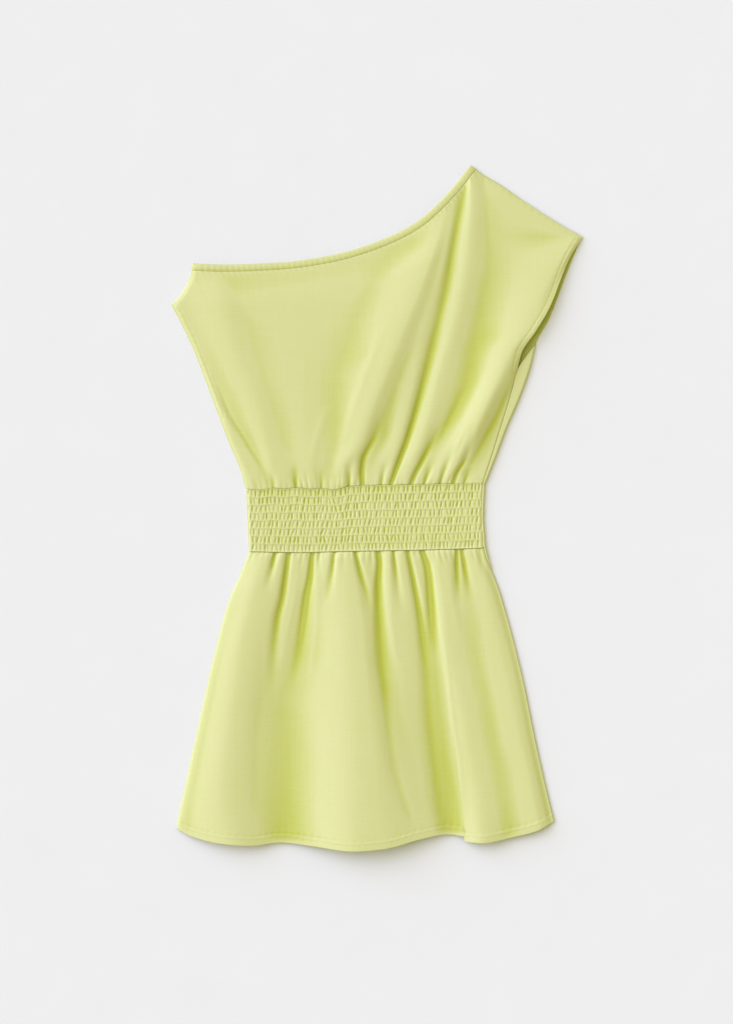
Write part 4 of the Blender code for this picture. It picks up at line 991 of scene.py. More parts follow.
def painted_fold_shade(height):
    """Painted shade from 0 to 1, from how deep each point of a grid lies in a narrow crease and in a wide
    fold.
    """
    crease = np.clip((box_blur(height, CREASE_REACH) - height) / CREASE_DEPTH, 0, 1)
    fold = np.clip((box_blur(box_blur(height, FOLD_REACH), CREASE_REACH) - height) / FOLD_DEPTH, 0, 1)
    row, column = np.indices(height.shape)
    from_side = np.minimum(column, height.shape[1] - 1 - column)
    from_free_edge = np.minimum(from_side, height.shape[0] - 1 - row)
    return np.clip(CREASE_SHARE * crease + FOLD_SHARE * fold, 0, 1) * ease(from_free_edge / EDGE_FADE)


print("depth on level cloth:", float(painted_fold_shade(np.full((60, 60), 3.0)).max()))

# %% [markdown]
# ## A mesh from points and faces
# Every piece of cloth and thread is one mesh, worked out in millimetres. This helper turns it into
# metres, makes its faces look outwards, smooths its shading and keeps each point's painted shade,
# worked out from how deep it lies in a fold, for the finish to read.

# %% Meshes
def quads_of(index):
    return np.stack((index[:-1, :-1], index[:-1, 1:], index[1:, 1:], index[1:, :-1]), axis=-1).reshape(-1, 4)


def rim_of(grid):
    """The edge of a grid, once round."""
    return np.concatenate((grid[0], grid[1:, -1], grid[-1, -2::-1], grid[-2:0:-1, 0]))


def make_piece(name, points, faces, material, hollow=None):
    """Make one mesh from points in millimetres and lists of faces, with its faces pointing out."""
    mesh = bpy.data.meshes.new(name)
    mesh.from_pydata(np.asarray(points, dtype=float) * MM, [], faces)
    shape = bmesh.new()
    shape.from_mesh(mesh)
    bmesh.ops.recalc_face_normals(shape, faces=shape.faces)
    shape.to_mesh(mesh)
    shape.free()
    mesh.shade_smooth()
    if hollow is not None:
        mesh.attributes.new("hollow", "FLOAT", "POINT").data.foreach_set("value", hollow.astype(np.float32))
    mesh.materials.append(material)
    piece = bpy.data.objects.new(name, mesh)
    bpy.context.scene.collection.objects.link(piece)
    return piece


print("a 5 by 5 grid has a rim of", len(rim_of(np.zeros((5, 5)))), "points")

# %% [markdown]
# ## From a grid to a thin shell
# Cloth has two faces, so a single sheet of polygons would have no edge to catch the light. Each panel
# is a closed shell instead: an outer grid, an inner grid one cloth's thickness below it, and a rounded
# rim between them. A Solidify modifier does much the same, but this rim stays level where the cloth lies
# down, and the inner face, which nobody sees, takes only every second point. That saves a third of the
# mesh.

# %% Closed shell
RIM_ROUND = 0.3
STEEP_RIM = 0.2
# Painted shade on each shell's inner face, a fixed share; on a back panel this is its upper side, seen under
# the front's edges
INSIDE_PAINTED_SHADE = 0.7


def shell(name, outer, inner, material, rim_round=RIM_ROUND):
    """A closed shell from an outer and an inner grid of one size, each with odd numbers of points."""
    count = outer.shape[0] * outer.shape[1]
    outer_index = np.arange(count).reshape(outer.shape[:2])
    coarse = inner[::2, ::2]
    inner_index = count + np.arange(coarse.shape[0] * coarse.shape[1]).reshape(coarse.shape[:2])
    edge = rim_of(outer)
    inside_step = np.concatenate((outer[1], outer[1:, -2], outer[-2, -2::-1], outer[-2:0:-1, 1]))
    away = edge - inside_step
    level = away * (1, 1, 0)
    tight = np.linalg.norm(level, axis=1) < STEEP_RIM * np.linalg.norm(away, axis=1)
    level[tight] = away[tight]
    reach = np.maximum(np.linalg.norm(level, axis=1), 1e-6)[:, None]
    middle = (edge + rim_of(inner)) / 2 + rim_round * level / reach
    middle_index = inner_index.max() + 1 + np.arange(len(middle))
    outer_rim, inner_rim = rim_of(outer_index), rim_of(inner_index)
    faces = quads_of(outer_index).tolist()
    faces += quads_of(inner_index)[:, ::-1].tolist()
    after = np.roll(middle_index, -1)
    faces += np.stack((np.roll(outer_rim, -1), outer_rim, middle_index, after), axis=-1).tolist()
    next_inner = np.roll(inner_rim, -1)
    start, half, end = middle_index[::2], middle_index[1::2], np.roll(middle_index[::2], -1)
    faces += np.stack((half, start, inner_rim), axis=-1).tolist()
    faces += np.stack((half, inner_rim, next_inner), axis=-1).tolist()
    faces += np.stack((end, half, next_inner), axis=-1).tolist()
    # Painted shade: the outer face by its depth in folds and creases, the inner face at a fixed share, and
    # the rim like the outer edge
    shade_amount = painted_fold_shade(outer[..., 2])
    hollow = np.concatenate((shade_amount.reshape(-1), np.full(inner_index.size, INSIDE_PAINTED_SHADE), rim_of(shade_amount)))
    points = np.concatenate((outer.reshape(-1, 3), coarse.reshape(-1, 3), middle))
    return make_piece(name, points, faces, material, hollow)


print("depth on the inside of a shell:", INSIDE_PAINTED_SHADE)

# %% [markdown]
# ## A shell from a height
# A front panel needs only its plan and its height. Its inner face is the outer one, moved in by the
# thickness of the cloth along the slope, so the wall is as thick on a steep fold as on a level one.

# %% Draped shell
SLOPE_STEP = 0.25


def slope_normals(height, x, y):
    slope_x = (height(x + SLOPE_STEP, y) - height(x - SLOPE_STEP, y)) / (2 * SLOPE_STEP)
    slope_y = (height(x, y + SLOPE_STEP) - height(x, y - SLOPE_STEP)) / (2 * SLOPE_STEP)
    normals = np.stack((-slope_x, -slope_y, np.ones_like(slope_x)), axis=-1)
    return normals / np.linalg.norm(normals, axis=-1)[..., None]


def draped_shell(name, plan, height, material):
    """A front panel: its outer face follows a height, its inner face lies one cloth below."""
    x, y = plan[..., 0], plan[..., 1]
    outer = np.stack((x, y, height(x, y)), axis=-1)
    normals = slope_normals(height, x, y)
    for edge in (np.s_[0], np.s_[-1], np.s_[:, 0], np.s_[:, -1]):
        normals[edge] = (0.0, 0.0, 1.0)
    inner = outer - CLOTH * normals
    return shell(name, outer, inner, material), outer


print("cloth thickness in mm:", CLOTH)

# %% [markdown]
# ## Threads, slubs and streaks
# The cloth is a smooth, mid-weight plain weave. From a step away it shows faint thick threads across
# it, softer streaks along it and a little cloudiness in the dye. Close up there are single threads over
# and under each other. All of it is made from noise and waves in the object's own place, so it
# needs no picture and no unwrapping.

# %% Noise and waves for a weave
THREAD_PITCH = 0.00046
SLUB_SCALE = (26.0, 560.0, 560.0)
STREAK_SCALE = (380.0, 8.0, 380.0)
CLOUD_SCALE = 8.0
WAVE_TURN = 20.0


def stretched_noise(tree, place, scale, detail):
    """Noise drawn out along one direction, as threads of uneven thickness are."""
    mapping = node(tree, "ShaderNodeMapping", {"Scale": scale})
    noise = node(tree, "ShaderNodeTexNoise", {"Scale": 1.0, "Detail": detail})
    tree.links.new(place, mapping.inputs["Vector"])
    tree.links.new(mapping.outputs["Vector"], noise.inputs["Vector"])
    return noise.outputs["Fac"]


def weave_threads(tree, place, direction, pitch):
    wave = node(tree, "ShaderNodeTexWave", {"Scale": 2 * math.pi / (WAVE_TURN * pitch), "Distortion": 0.6,
                                            "Detail": 1.0, "Detail Scale": 3.0}, bands_direction=direction)
    tree.links.new(place, wave.inputs["Vector"])
    return wave.outputs["Fac"]


def combine(tree, how, first, second):
    made = node(tree, "ShaderNodeMath", operation=how)
    for socket, given in zip(made.inputs, (first, second)):
        if isinstance(given, bpy.types.NodeSocket):
            tree.links.new(given, socket)
        else:
            socket.default_value = given
    return made.outputs["Value"]


def weighted_sum(tree, base, parts):
    """A number plus a share of each part, where a part runs round its middle of one half."""
    total = base
    for source, share in parts:
        centred = combine(tree, "SUBTRACT", source, 0.5)
        total = combine(tree, "ADD", combine(tree, "MULTIPLY", centred, share), total)
    return total


print("threads in a centimetre:", round(0.01 / THREAD_PITCH))

# %% [markdown]
# ## The finish of the cloth, with painted shade
# The dye is a pale yellow-green. The slubs, streaks and clouds make it a little deeper here and there,
# and painted shade makes it much deeper in the hollow of a fold or crease. A little sheen stands for the
# fuzz on the threads, and a faint bump lets them catch the light.

# %% Woven finish with painted shade
CLOTH_LIGHT = (0.691, 0.697, 0.331)
# The deep green serves both the deeper spots of the dye and the painted shade in folds and creases
CLOTH_DEEP_DYE_AND_SHADE = (0.495, 0.530, 0.058)
BINDING_LIGHT = (0.682, 0.688, 0.326)
CLOTH_TONE = 0.14


def woven_finish_and_fold_shade(name, light, deep, painted_shade_share=0.85, bump=0.30):
    material = bpy.data.materials.new(name)
    material.use_nodes = True
    tree = material.node_tree
    shader = tree.nodes["Principled BSDF"]
    shader.inputs["Sheen Weight"].default_value = 0.10
    shader.inputs["Sheen Roughness"].default_value = 0.45
    shader.inputs["Specular IOR Level"].default_value = 0.35
    place = node(tree, "ShaderNodeTexCoord").outputs["Object"]
    slubs = stretched_noise(tree, place, SLUB_SCALE, 2.0)
    streaks = stretched_noise(tree, place, STREAK_SCALE, 2.0)
    clouds = stretched_noise(tree, place, (CLOUD_SCALE,) * 3, 3.0)
    threads = combine(tree, "MULTIPLY", weave_threads(tree, place, "X", THREAD_PITCH),
                      weave_threads(tree, place, "Y", THREAD_PITCH))
    # Painted shade: each point's share pulls the colour towards the deep green
    hollow = node(tree, "ShaderNodeAttribute", attribute_name="hollow").outputs["Fac"]
    tone = weighted_sum(tree, CLOTH_TONE, ((slubs, 0.20), (streaks, 0.16), (clouds, 0.16), (threads, -0.10)))
    tone = combine(tree, "ADD", tone, combine(tree, "MULTIPLY", hollow, painted_shade_share))
    tone = combine(tree, "MINIMUM", combine(tree, "MAXIMUM", tone, 0.0), 1.0)
    tree.links.new(colour_mix(tree, tone, (*light, 1.0), (*deep, 1.0)), shader.inputs["Base Color"])
    rough = weighted_sum(tree, 0.72, ((slubs, 0.10), (threads, 0.10)))
    tree.links.new(rough, shader.inputs["Roughness"])
    relief = weighted_sum(tree, 0.5, ((threads, 1.0), (slubs, 0.9), (streaks, 0.4)))
    bumps = node(tree, "ShaderNodeBump", {"Strength": bump, "Distance": 0.00016})
    tree.links.new(relief, bumps.inputs["Height"])
    tree.links.new(bumps.outputs["Normal"], shader.inputs["Normal"])
    return material


DRESS_CLOTH = woven_finish_and_fold_shade("dress_cloth_weave", CLOTH_LIGHT, CLOTH_DEEP_DYE_AND_SHADE)
SMOCKED_CLOTH = woven_finish_and_fold_shade("smocked_cloth_weave", CLOTH_LIGHT, CLOTH_DEEP_DYE_AND_SHADE, painted_shade_share=0.95)
BINDING_CLOTH = woven_finish_and_fold_shade("binding_cloth_weave", BINDING_LIGHT, CLOTH_DEEP_DYE_AND_SHADE)
print("cloth finishes:", DRESS_CLOTH.name, SMOCKED_CLOTH.name, BINDING_CLOTH.name)

# %% [markdown]
# ## The finish of the thread
# Sewing thread is twisted, so it has fine slanting turns, and it is a little smoother and brighter than
# the cloth. The elastic threads are covered in a paler yarn. One function makes both from a colour.

# %% Thread finish
THREAD_COLOUR = (0.640, 0.655, 0.250)
ELASTIC_COLOUR = (0.730, 0.745, 0.340)
THREAD_TURN_PITCH = 0.00035
THREAD_SHADE = 0.86


def thread_finish(name, colour):
    """Twisted sewing thread: fine slanting turns, a little smoother than the cloth."""
    material = bpy.data.materials.new(name)
    material.use_nodes = True
    tree = material.node_tree
    shader = tree.nodes["Principled BSDF"]
    shader.inputs["Sheen Weight"].default_value = 0.2
    shader.inputs["Specular IOR Level"].default_value = 0.4
    place = node(tree, "ShaderNodeTexCoord").outputs["Object"]
    turns = weave_threads(tree, place, "DIAGONAL", THREAD_TURN_PITCH)
    shade = tuple(THREAD_SHADE * value for value in colour)
    tree.links.new(colour_mix(tree, turns, (*shade, 1.0), (*colour, 1.0)), shader.inputs["Base Color"])
    tree.links.new(weighted_sum(tree, 0.55, ((turns, 0.15),)), shader.inputs["Roughness"])
    bumps = node(tree, "ShaderNodeBump", {"Strength": 0.4, "Distance": 0.00008})
    tree.links.new(turns, bumps.inputs["Height"])
    tree.links.new(bumps.outputs["Normal"], shader.inputs["Normal"])
    return material


SEWING_THREAD = thread_finish("sewing_thread", THREAD_COLOUR)
ELASTIC_THREAD = thread_finish("elastic_thread_cover", ELASTIC_COLOUR)
print("thread finishes:", SEWING_THREAD.name, ELASTIC_THREAD.name)

# %% [markdown]
# ## The front bodice
# The bodice front is one panel of cloth, from the gathered waist seam up to the neckline. Its columns
# of points run up from the waist and end in the three stretches of its upper edge, so the two corners
# of the neckline stay crisp. Cloth simulation could drape it, but the folds of a garment that a stylist
# smoothed by hand are quicker and truer as listed heights.

# %% Front bodice
BODICE_WIDTH_AT_WAIST = BODICE_RIGHT[0][1] - BODICE_LEFT[0][1]
BODICE_LENGTH = 370.0
SIDE_ZONE = 6.0

# Distances between columns or rows in mm, at the first edge, in the middle and at the last edge
FRONT_BODICE_COLUMN_STEPS = (0.6, 0.96, 0.6)
FRONT_BODICE_ROW_STEPS = (0.8, 2.6, 0.9)
FRONT_BODICE_ROW_ZONE = 28.0


def three_stretches(steps, width):
    """Columns with exact places for the neckline's two corners."""
    corner, point = NECK_CORNER_SHARE, NECK_POINT_SHARE
    start, middle, end = steps
    first = crowded(corner * width, start, middle, middle, SIDE_ZONE) * corner
    second = corner + crowded((point - corner) * width, middle, middle, middle, SIDE_ZONE) * (point - corner)
    third = point + crowded((1 - point) * width, middle, middle, end, SIDE_ZONE) * (1 - point)
    columns = np.concatenate((first, second[1:], third[1:]))
    return columns, len(first) - 1, len(first) + len(second) - 2


def front_bodice():
    columns, neck_corner, neck_point = three_stretches(FRONT_BODICE_COLUMN_STEPS, BODICE_WIDTH_AT_WAIST)
    rows = crowded(BODICE_LENGTH, *FRONT_BODICE_ROW_STEPS, FRONT_BODICE_ROW_ZONE)
    left = float(bodice_left_seam(WAIST_TOP[0][1]))
    right = float(bodice_right_seam(WAIST_TOP[-1][1]))
    waist_x = left + (right - left) * columns
    near = np.column_stack((waist_x, front_seam(WAIST_TOP, waist_x) + SEAM_GAP / 2))
    far, neck = bodice_top(columns, neck_corner, neck_point, NECK_DROP)
    plan = panel_plan(near, far, bodice_left_seam, bodice_right_seam, rows, columns)
    piece, outer = draped_shell("front_bodice_cloth", plan, bodice_height, DRESS_CLOTH)
    return piece, neck, outer[-1, neck_corner:neck_point + 1, 2]


front_bodice_cloth, front_neck, front_neck_height = front_bodice()
print("front bodice:", len(front_bodice_cloth.data.polygons), "faces")

# %% [markdown]
# ## The front skirt
# The skirt front is cut wider than the waist, gathered into the band and left to flare. Its columns fan
# out from the waist to the hem. The rows are closest at both ends, for the gathers and for the hem.

# %% Front skirt
SKIRT_WIDTH_AT_WAIST = SKIRT_RIGHT[-1][1] - SKIRT_LEFT[-1][1]
SKIRT_LENGTH = 362.0
SKIRT_SIDE_STEP, SKIRT_COLUMN_STEP = 0.6, 0.98
FRONT_SKIRT_ROW_STEPS = (0.8, 2.6, 0.7)
FRONT_SKIRT_ROW_ZONE = 24.0


def skirt_edges(sides_at_waist, sides_at_hem, columns, seam):
    """The skirt's waist seam and hem between given sides."""
    waist_x = sides_at_waist[0] + (sides_at_waist[1] - sides_at_waist[0]) * columns
    hem_x = sides_at_hem[0] + (sides_at_hem[1] - sides_at_hem[0]) * columns
    near = np.column_stack((waist_x, seam(WAIST_BOTTOM, waist_x) - SEAM_GAP / 2))
    return near, np.column_stack((hem_x, hem_y(hem_x)))


def front_skirt():
    waist_y = (WAIST_BOTTOM[0][1], WAIST_BOTTOM[-1][1])
    sides_at_waist = (float(skirt_left_seam(waist_y[0])), float(skirt_right_seam(waist_y[1])))
    sides_at_hem = (float(skirt_left_seam(SKIRT_LEFT[0][0])), float(skirt_right_seam(SKIRT_RIGHT[0][0])))
    hem_width = sides_at_hem[1] - sides_at_hem[0]
    step_share = (HEM_LEFT_OF_STEP[-1][0] - sides_at_hem[0]) / hem_width
    past_share = (HEM_RIGHT_OF_STEP[0][0] - sides_at_hem[0]) / hem_width
    left_steps = (SKIRT_SIDE_STEP, SKIRT_COLUMN_STEP, SKIRT_COLUMN_STEP)
    first = crowded(step_share * SKIRT_WIDTH_AT_WAIST, *left_steps, SIDE_ZONE) * step_share
    right_share = 1 - past_share
    right_steps = left_steps[::-1]
    last = past_share + crowded(right_share * SKIRT_WIDTH_AT_WAIST, *right_steps, SIDE_ZONE) * right_share
    columns = np.concatenate((first, [(step_share + past_share) / 2], last))
    rows = crowded(SKIRT_LENGTH, *FRONT_SKIRT_ROW_STEPS, FRONT_SKIRT_ROW_ZONE)
    near, far = skirt_edges(sides_at_waist, sides_at_hem, columns, smooth_through)
    plan = panel_plan(near, far, skirt_left_seam, skirt_right_seam, rows, columns)
    return draped_shell("front_skirt_cloth", plan, skirt_height, DRESS_CLOTH)[0]


front_skirt_cloth = front_skirt()
print("front skirt:", len(front_skirt_cloth.data.polygons), "faces")

# %% [markdown]
# ## The puckers of the smocking
# Rows of elastic thread, ten millimetres apart, pull the band in to half its cut width. Between two
# threads the cloth stands up in small puckers, each a ridge with a sharp groove on either side. One
# pucker could be copied along an array, but no two are alike, so each has its own width, height and
# slant, drawn with a fixed seed.

# %% Puckers
SMOCKING_ROWS = 8
PUCKERS_IN_A_ROW = 56
COLUMNS_A_PUCKER = 7
ROWS_A_PUCKER = 8
THREAD_DIP = 0.30
ROW_SHIFT = 0.4
GROOVE_SHIFT = 0.24
SLANT_MEAN, SLANT_SPREAD = 0.14, 0.26
STEEP_ROWS, STEEP_ROW_SLANT = (4, 5), 0.22
GROOVE_DEPTHS = (0.40, 1.0)
GROOVE_WIDTHS = (0.13, 0.24)
CREST_SHARES = (0.80, 1.0)
SWELL_POWER = 0.7


def puckers(columns, rows, seed):
    """The smocked relief: 1 on the threads and the crests, less beside the threads, 0 in the grooves."""
    draw = np.random.default_rng(seed)
    relief = np.ones((len(rows), len(columns)))
    place = rows * SMOCKING_ROWS
    for number in range(SMOCKING_ROWS):
        grooves = np.arange(-1, PUCKERS_IN_A_ROW + 2) + 0.5 * (number % 2) + draw.uniform(0, ROW_SHIFT)
        grooves = grooves + draw.uniform(-GROOVE_SHIFT, GROOVE_SHIFT, len(grooves))
        steeper = STEEP_ROW_SLANT if number in STEEP_ROWS else 0.0
        slants = draw.normal(SLANT_MEAN, SLANT_SPREAD, len(grooves)) + steeper
        depths = draw.uniform(*GROOVE_DEPTHS, len(grooves))
        widths = draw.uniform(*GROOVE_WIDTHS, len(grooves))
        crests = draw.uniform(*CREST_SHARES, len(grooves))
        for row in np.nonzero((place > number) & (place < number + 1))[0]:
            down = place[row] - number
            lines = grooves + slants * (0.5 - down)
            away = columns[:, None] * PUCKERS_IN_A_ROW - lines
            open_share = np.sin(np.pi * down) ** SWELL_POWER
            sunk = (depths * bell(away, widths)).max(axis=1) * open_share
            swell = np.interp(columns * PUCKERS_IN_A_ROW, np.sort(lines), crests)
            relief[row] = swell * (1 - THREAD_DIP * (1 - open_share)) * (1 - sunk)
    return relief


def band_grid():
    columns = np.linspace(0, 1, PUCKERS_IN_A_ROW * COLUMNS_A_PUCKER + 1)
    return columns, np.linspace(0, 1, SMOCKING_ROWS * ROWS_A_PUCKER + 1)


print("puckers on one face:", SMOCKING_ROWS * PUCKERS_IN_A_ROW)

# %% [markdown]
# ## The smocked waistband
# The band is a flat plan with the puckers as its height. They are lower beside the threads and swell
# quickly away from them, which gives each the lens shape seen in the photo. Each thread then stands as a
# fine line of its own.

# %% Smocked waistband, front
STITCH_LINE_HEIGHT = 2.8
PUCKER_CREST = 4.7
BAND_EDGE_HEIGHT = 3.4
BAND_EDGE_WIDTH = 1.2
BAND_LEFT_ROUND = 3.0
BAND_RIGHT_EASE = 2.0


def band_plan(columns, rows, left_inset, right_inset, seam):
    """The waistband from above, from its upper seam to its lower one."""
    share = rows[:, None]
    side_y = BAND_MIDDLE_Y + BAND_HALF_HEIGHT * (1 - 2 * share)
    left = smooth_through(BAND_LEFT, side_y) + left_inset
    right = smooth_through(BAND_RIGHT, side_y) - right_inset
    x = left + (right - left) * columns[None, :]
    top = seam(WAIST_TOP, x) - SEAM_GAP / 2
    bottom = seam(WAIST_BOTTOM, x) + SEAM_GAP / 2
    return np.stack((x, top + (bottom - top) * share), axis=-1)


def smocked_front():
    columns, rows = band_grid()
    plan = band_plan(columns, rows, FRONT_INSET, BAND_WRAP + SEAM_GAP, front_seam)
    height = STITCH_LINE_HEIGHT + (PUCKER_CREST - STITCH_LINE_HEIGHT) * puckers(columns, rows, 5)
    from_seam = np.minimum(rows, 1 - rows)[:, None] * 2 * BAND_HALF_HEIGHT
    height += (BAND_EDGE_HEIGHT - STITCH_LINE_HEIGHT) * bell(from_seam, BAND_EDGE_WIDTH)
    from_left, from_right = plan[..., 0] - plan[:, :1, 0], plan[:, -1:, 0] - plan[..., 0]
    height = LAP_HEIGHT + (height - LAP_HEIGHT) * quarter_round(from_left, BAND_LEFT_ROUND)
    height = BAND_EDGE_HEIGHT + (height - BAND_EDGE_HEIGHT) * ease(from_right / BAND_RIGHT_EASE)
    outer = np.dstack((plan, height))
    inner = outer - (0, 0, CLOTH)
    return shell("smocked_band_front", outer, inner, SMOCKED_CLOTH, rim_round=0.1), outer


smocked_band_front, band_front_face = smocked_front()
print("smocked front:", len(smocked_band_front.data.polygons), "faces")

# %% [markdown]
# ## Rolling a back panel
# The back lies flat on the table, under the front, and its right side is rolled over to the front. The
# roll is a half turn round a thin tube: each row of points goes round by the way that it has left to
# run, so the edge of the cloth lands where its table says.

# %% Rolled shell
ROLL_STEPS = 14
ROLL_BLEND = 0.8
SHORTEST_WRAP = 0.8


def rolled_shell(name, plan, columns, reach, relief, material):
    """A back panel: flat under the dress, its right side rolled over by a reach per row."""
    middle_level = WALL / 2
    x = plan[..., 0] - WRAP_REACH * np.clip((columns - ROLL_BLEND) / (1 - ROLL_BLEND), 0, 1)
    y, start, side_y = plan[..., 1], x[:, -1], plan[:, -1, 1]
    outer = [np.dstack((x, y, relief))]
    inner = [np.dstack((x, y, relief + CLOTH))]
    half_turn = np.pi * WRAP_RADIUS
    way = np.where(reach < WRAP_REACH, reach * half_turn / WRAP_REACH, half_turn + reach - WRAP_REACH)
    way = np.maximum(way, SHORTEST_WRAP)
    for step in range(1, ROLL_STEPS + 1):
        gone = way * step / ROLL_STEPS
        turn = np.minimum(gone / WRAP_RADIUS, np.pi)
        middle_x = start + WRAP_RADIUS * np.sin(turn) - np.maximum(gone - half_turn, 0)
        middle_z = middle_level + WRAP_RADIUS * (1 - np.cos(turn))
        out_x, out_z = np.sin(turn), -np.cos(turn)
        from_middle = middle_level - relief[:, -1]
        for grid, away in ((outer, from_middle), (inner, from_middle - CLOTH)):
            grid.append(np.column_stack((middle_x + away * out_x, side_y, middle_z + away * out_z))[:, None])
    return shell(name, np.concatenate(outer, axis=1), np.concatenate(inner, axis=1), material)


print("a half turn takes up in mm:", round(math.pi * WRAP_RADIUS, 1))

# %% [markdown]
# ## The back bodice
# From below, the same gathers and hems show, pressed flat by the weight of the cloth. So the outer face
# stays on the table, and only its hollows rise from it, by less than a millimetre. The gathers are drawn
# with a fixed seed, because the photo doesn't show this side.

# %% Back bodice
PRESSED_RELIEF = 0.55
PRESSED_FOLD_DEPTH = 1.1
BACK_ARMHOLE_GROOVE = 0.6
BACK_SHOULDER_GROOVE = 0.4
BACK_BODICE_COLUMN_STEPS = (1.2, 1.7, 1.0)
BACK_BODICE_ROW_STEPS = (1.2, 3.2, 1.2)
BACK_BODICE_ROW_ZONE = 26.0
RIGHT_ARMHOLE_OUTER = np.column_stack((bodice_right_outline(right_armhole_y) - WRAP_REACH, right_armhole_y))
BACK_BODICE_GATHERS = small_gathers(31, (-160.0, 128.0, 26.0), 1, (-0.25, 0.45),
                                    depths=(0.5, 2.4), reaches=(14.0, 70.0), pitches=(5.0, 12.0))


def pressed(depth):
    """A hollow pressed flat: it grows with the depth of the fold but never past a small height."""
    return PRESSED_RELIEF * (1 - np.exp(-np.maximum(depth, 0) / PRESSED_FOLD_DEPTH))


def back_bodice_relief(x, y):
    depth = gather_depth(BACK_BODICE_GATHERS, x, y, WAIST_TOP[0][1])
    for line in (LEFT_ARMHOLE_LINE, RIGHT_ARMHOLE_OUTER):
        from_stitches = distance_to(line, x, y) - ARMHOLE_STITCH_INSET
        depth += BACK_ARMHOLE_GROOVE * bell(from_stitches, STITCH_GROOVE_WIDTH)
    from_shoulder_line = distance_to(SHOULDER_LINE, x, y) - SHOULDER_LINE_INSET
    depth += BACK_SHOULDER_GROOVE * bell(from_shoulder_line, STITCH_GROOVE_WIDTH)
    return pressed(depth)


def back_bodice():
    columns, neck_corner, neck_point = three_stretches(BACK_BODICE_COLUMN_STEPS, BODICE_WIDTH_AT_WAIST)
    rows = crowded(BODICE_LENGTH, *BACK_BODICE_ROW_STEPS, BACK_BODICE_ROW_ZONE)
    waist_x = BODICE_LEFT[0][1] + BODICE_WIDTH_AT_WAIST * columns
    near = np.column_stack((waist_x, straight_through(WAIST_TOP, waist_x) + SEAM_GAP / 2))
    far, neck = bodice_top(columns, neck_corner, neck_point, 0.0)
    plan = panel_plan(near, far, bodice_left_outline, bodice_right_outline, rows, columns)
    relief = back_bodice_relief(plan[..., 0], plan[..., 1])
    reach = smooth_through(BODICE_WRAP, plan[:, -1, 1])
    return rolled_shell("back_bodice_cloth", plan, columns, reach, relief, DRESS_CLOTH), neck


back_bodice_cloth, back_neck = back_bodice()
print("back bodice:", len(back_bodice_cloth.data.polygons), "faces")

# %% [markdown]
# ## The back skirt
# The skirt's back is the same work with a hem: two stitched lines and a fold above them. It ends three
# millimetres above the front's hem, so that from above the front covers it.

# %% Back skirt
BACK_HEM_RISE = 3.0
BACK_HEM_FOLD, BACK_HEM_FOLD_REACH = 0.5, 14.0
BACK_UPPER_GROOVE, BACK_LOWER_GROOVE = 0.7, 0.65
BACK_SKIRT_COLUMN_STEPS, BACK_SKIRT_COLUMN_ZONE = (1.2, 1.7, 1.2), 8.0
BACK_SKIRT_ROW_STEPS, BACK_SKIRT_ROW_ZONE = (1.2, 3.2, 0.8), 24.0
BACK_SKIRT_GATHERS = small_gathers(37, (-156.0, 130.0, -54.0), -1, (-0.30, 0.30),
                                   depths=(0.5, 2.6), reaches=(16.0, 110.0), pitches=(5.5, 14.0))


def back_skirt_relief(x, y):
    depth = gather_depth(BACK_SKIRT_GATHERS, x, y, WAIST_BOTTOM[0][1])
    up = y - hem_y(x) - BACK_HEM_RISE
    above_hem = up - HEM_DEPTH
    depth += BACK_HEM_FOLD * ease(above_hem / HEM_FOLD_EASE) * bell(above_hem, BACK_HEM_FOLD_REACH)
    depth += BACK_UPPER_GROOVE * bell(up - HEM_STITCH_UP, STITCH_GROOVE_WIDTH)
    depth += BACK_LOWER_GROOVE * bell(up - HEM_SECOND_UP, STITCH_GROOVE_WIDTH)
    return pressed(depth)


def back_skirt():
    columns = crowded(SKIRT_WIDTH_AT_WAIST, *BACK_SKIRT_COLUMN_STEPS, BACK_SKIRT_COLUMN_ZONE)
    rows = crowded(SKIRT_LENGTH, *BACK_SKIRT_ROW_STEPS, BACK_SKIRT_ROW_ZONE)
    sides_at_waist = (SKIRT_LEFT[-1][1], SKIRT_RIGHT[-1][1])
    sides_at_hem = (SKIRT_LEFT[0][1], SKIRT_RIGHT[0][1])
    near, far = skirt_edges(sides_at_waist, sides_at_hem, columns, straight_through)
    far[:, 1] += BACK_HEM_RISE
    plan = panel_plan(near, far, skirt_left_outline, skirt_right_outline, rows, columns)
    relief = back_skirt_relief(plan[..., 0], plan[..., 1])
    reach = smooth_through(SKIRT_WRAP, plan[:, -1, 1])
    return rolled_shell("back_skirt_cloth", plan, columns, reach, relief, DRESS_CLOTH)


back_skirt_cloth = back_skirt()
print("back skirt:", len(back_skirt_cloth.data.polygons), "faces")

# %% [markdown]
# ## The back of the waistband
# The smocking goes right round the waist. On the back its puckers are pressed flat, and each elastic
# thread lies in a shallow groove, which keeps the thread clear of the table.

# %% Smocked waistband, back
PRESSED_THREAD_GROOVE = 0.30
BACK_THREAD_END = 0.97


def smocked_back():
    columns, rows = band_grid()
    plan = band_plan(columns, rows, 0.0, 0.0, straight_through)
    relief = PRESSED_RELIEF * (1 - puckers(columns, rows, 9))
    relief[ROWS_A_PUCKER:-1:ROWS_A_PUCKER] = PRESSED_THREAD_GROOVE
    reach = np.full(len(rows), BAND_WRAP)
    band = rolled_shell("smocked_band_back", plan, columns, reach, relief, SMOCKED_CLOTH)
    return band, np.dstack((plan, relief))[:, columns < BACK_THREAD_END]


smocked_band_back, band_back_face = smocked_back()
print("smocked back:", len(smocked_band_back.data.polygons), "faces")

# %% [markdown]
# ## The neck binding
# The slanting neckline is finished with a strip of the same cloth, folded round the raw edge and sewn
# down. It is a long soft tube, eight millimetres wide, so a rounded section is carried along the neck.
# The needle pulls it in at its lower side, once a stitch, which gives the edge its fine pinched look.

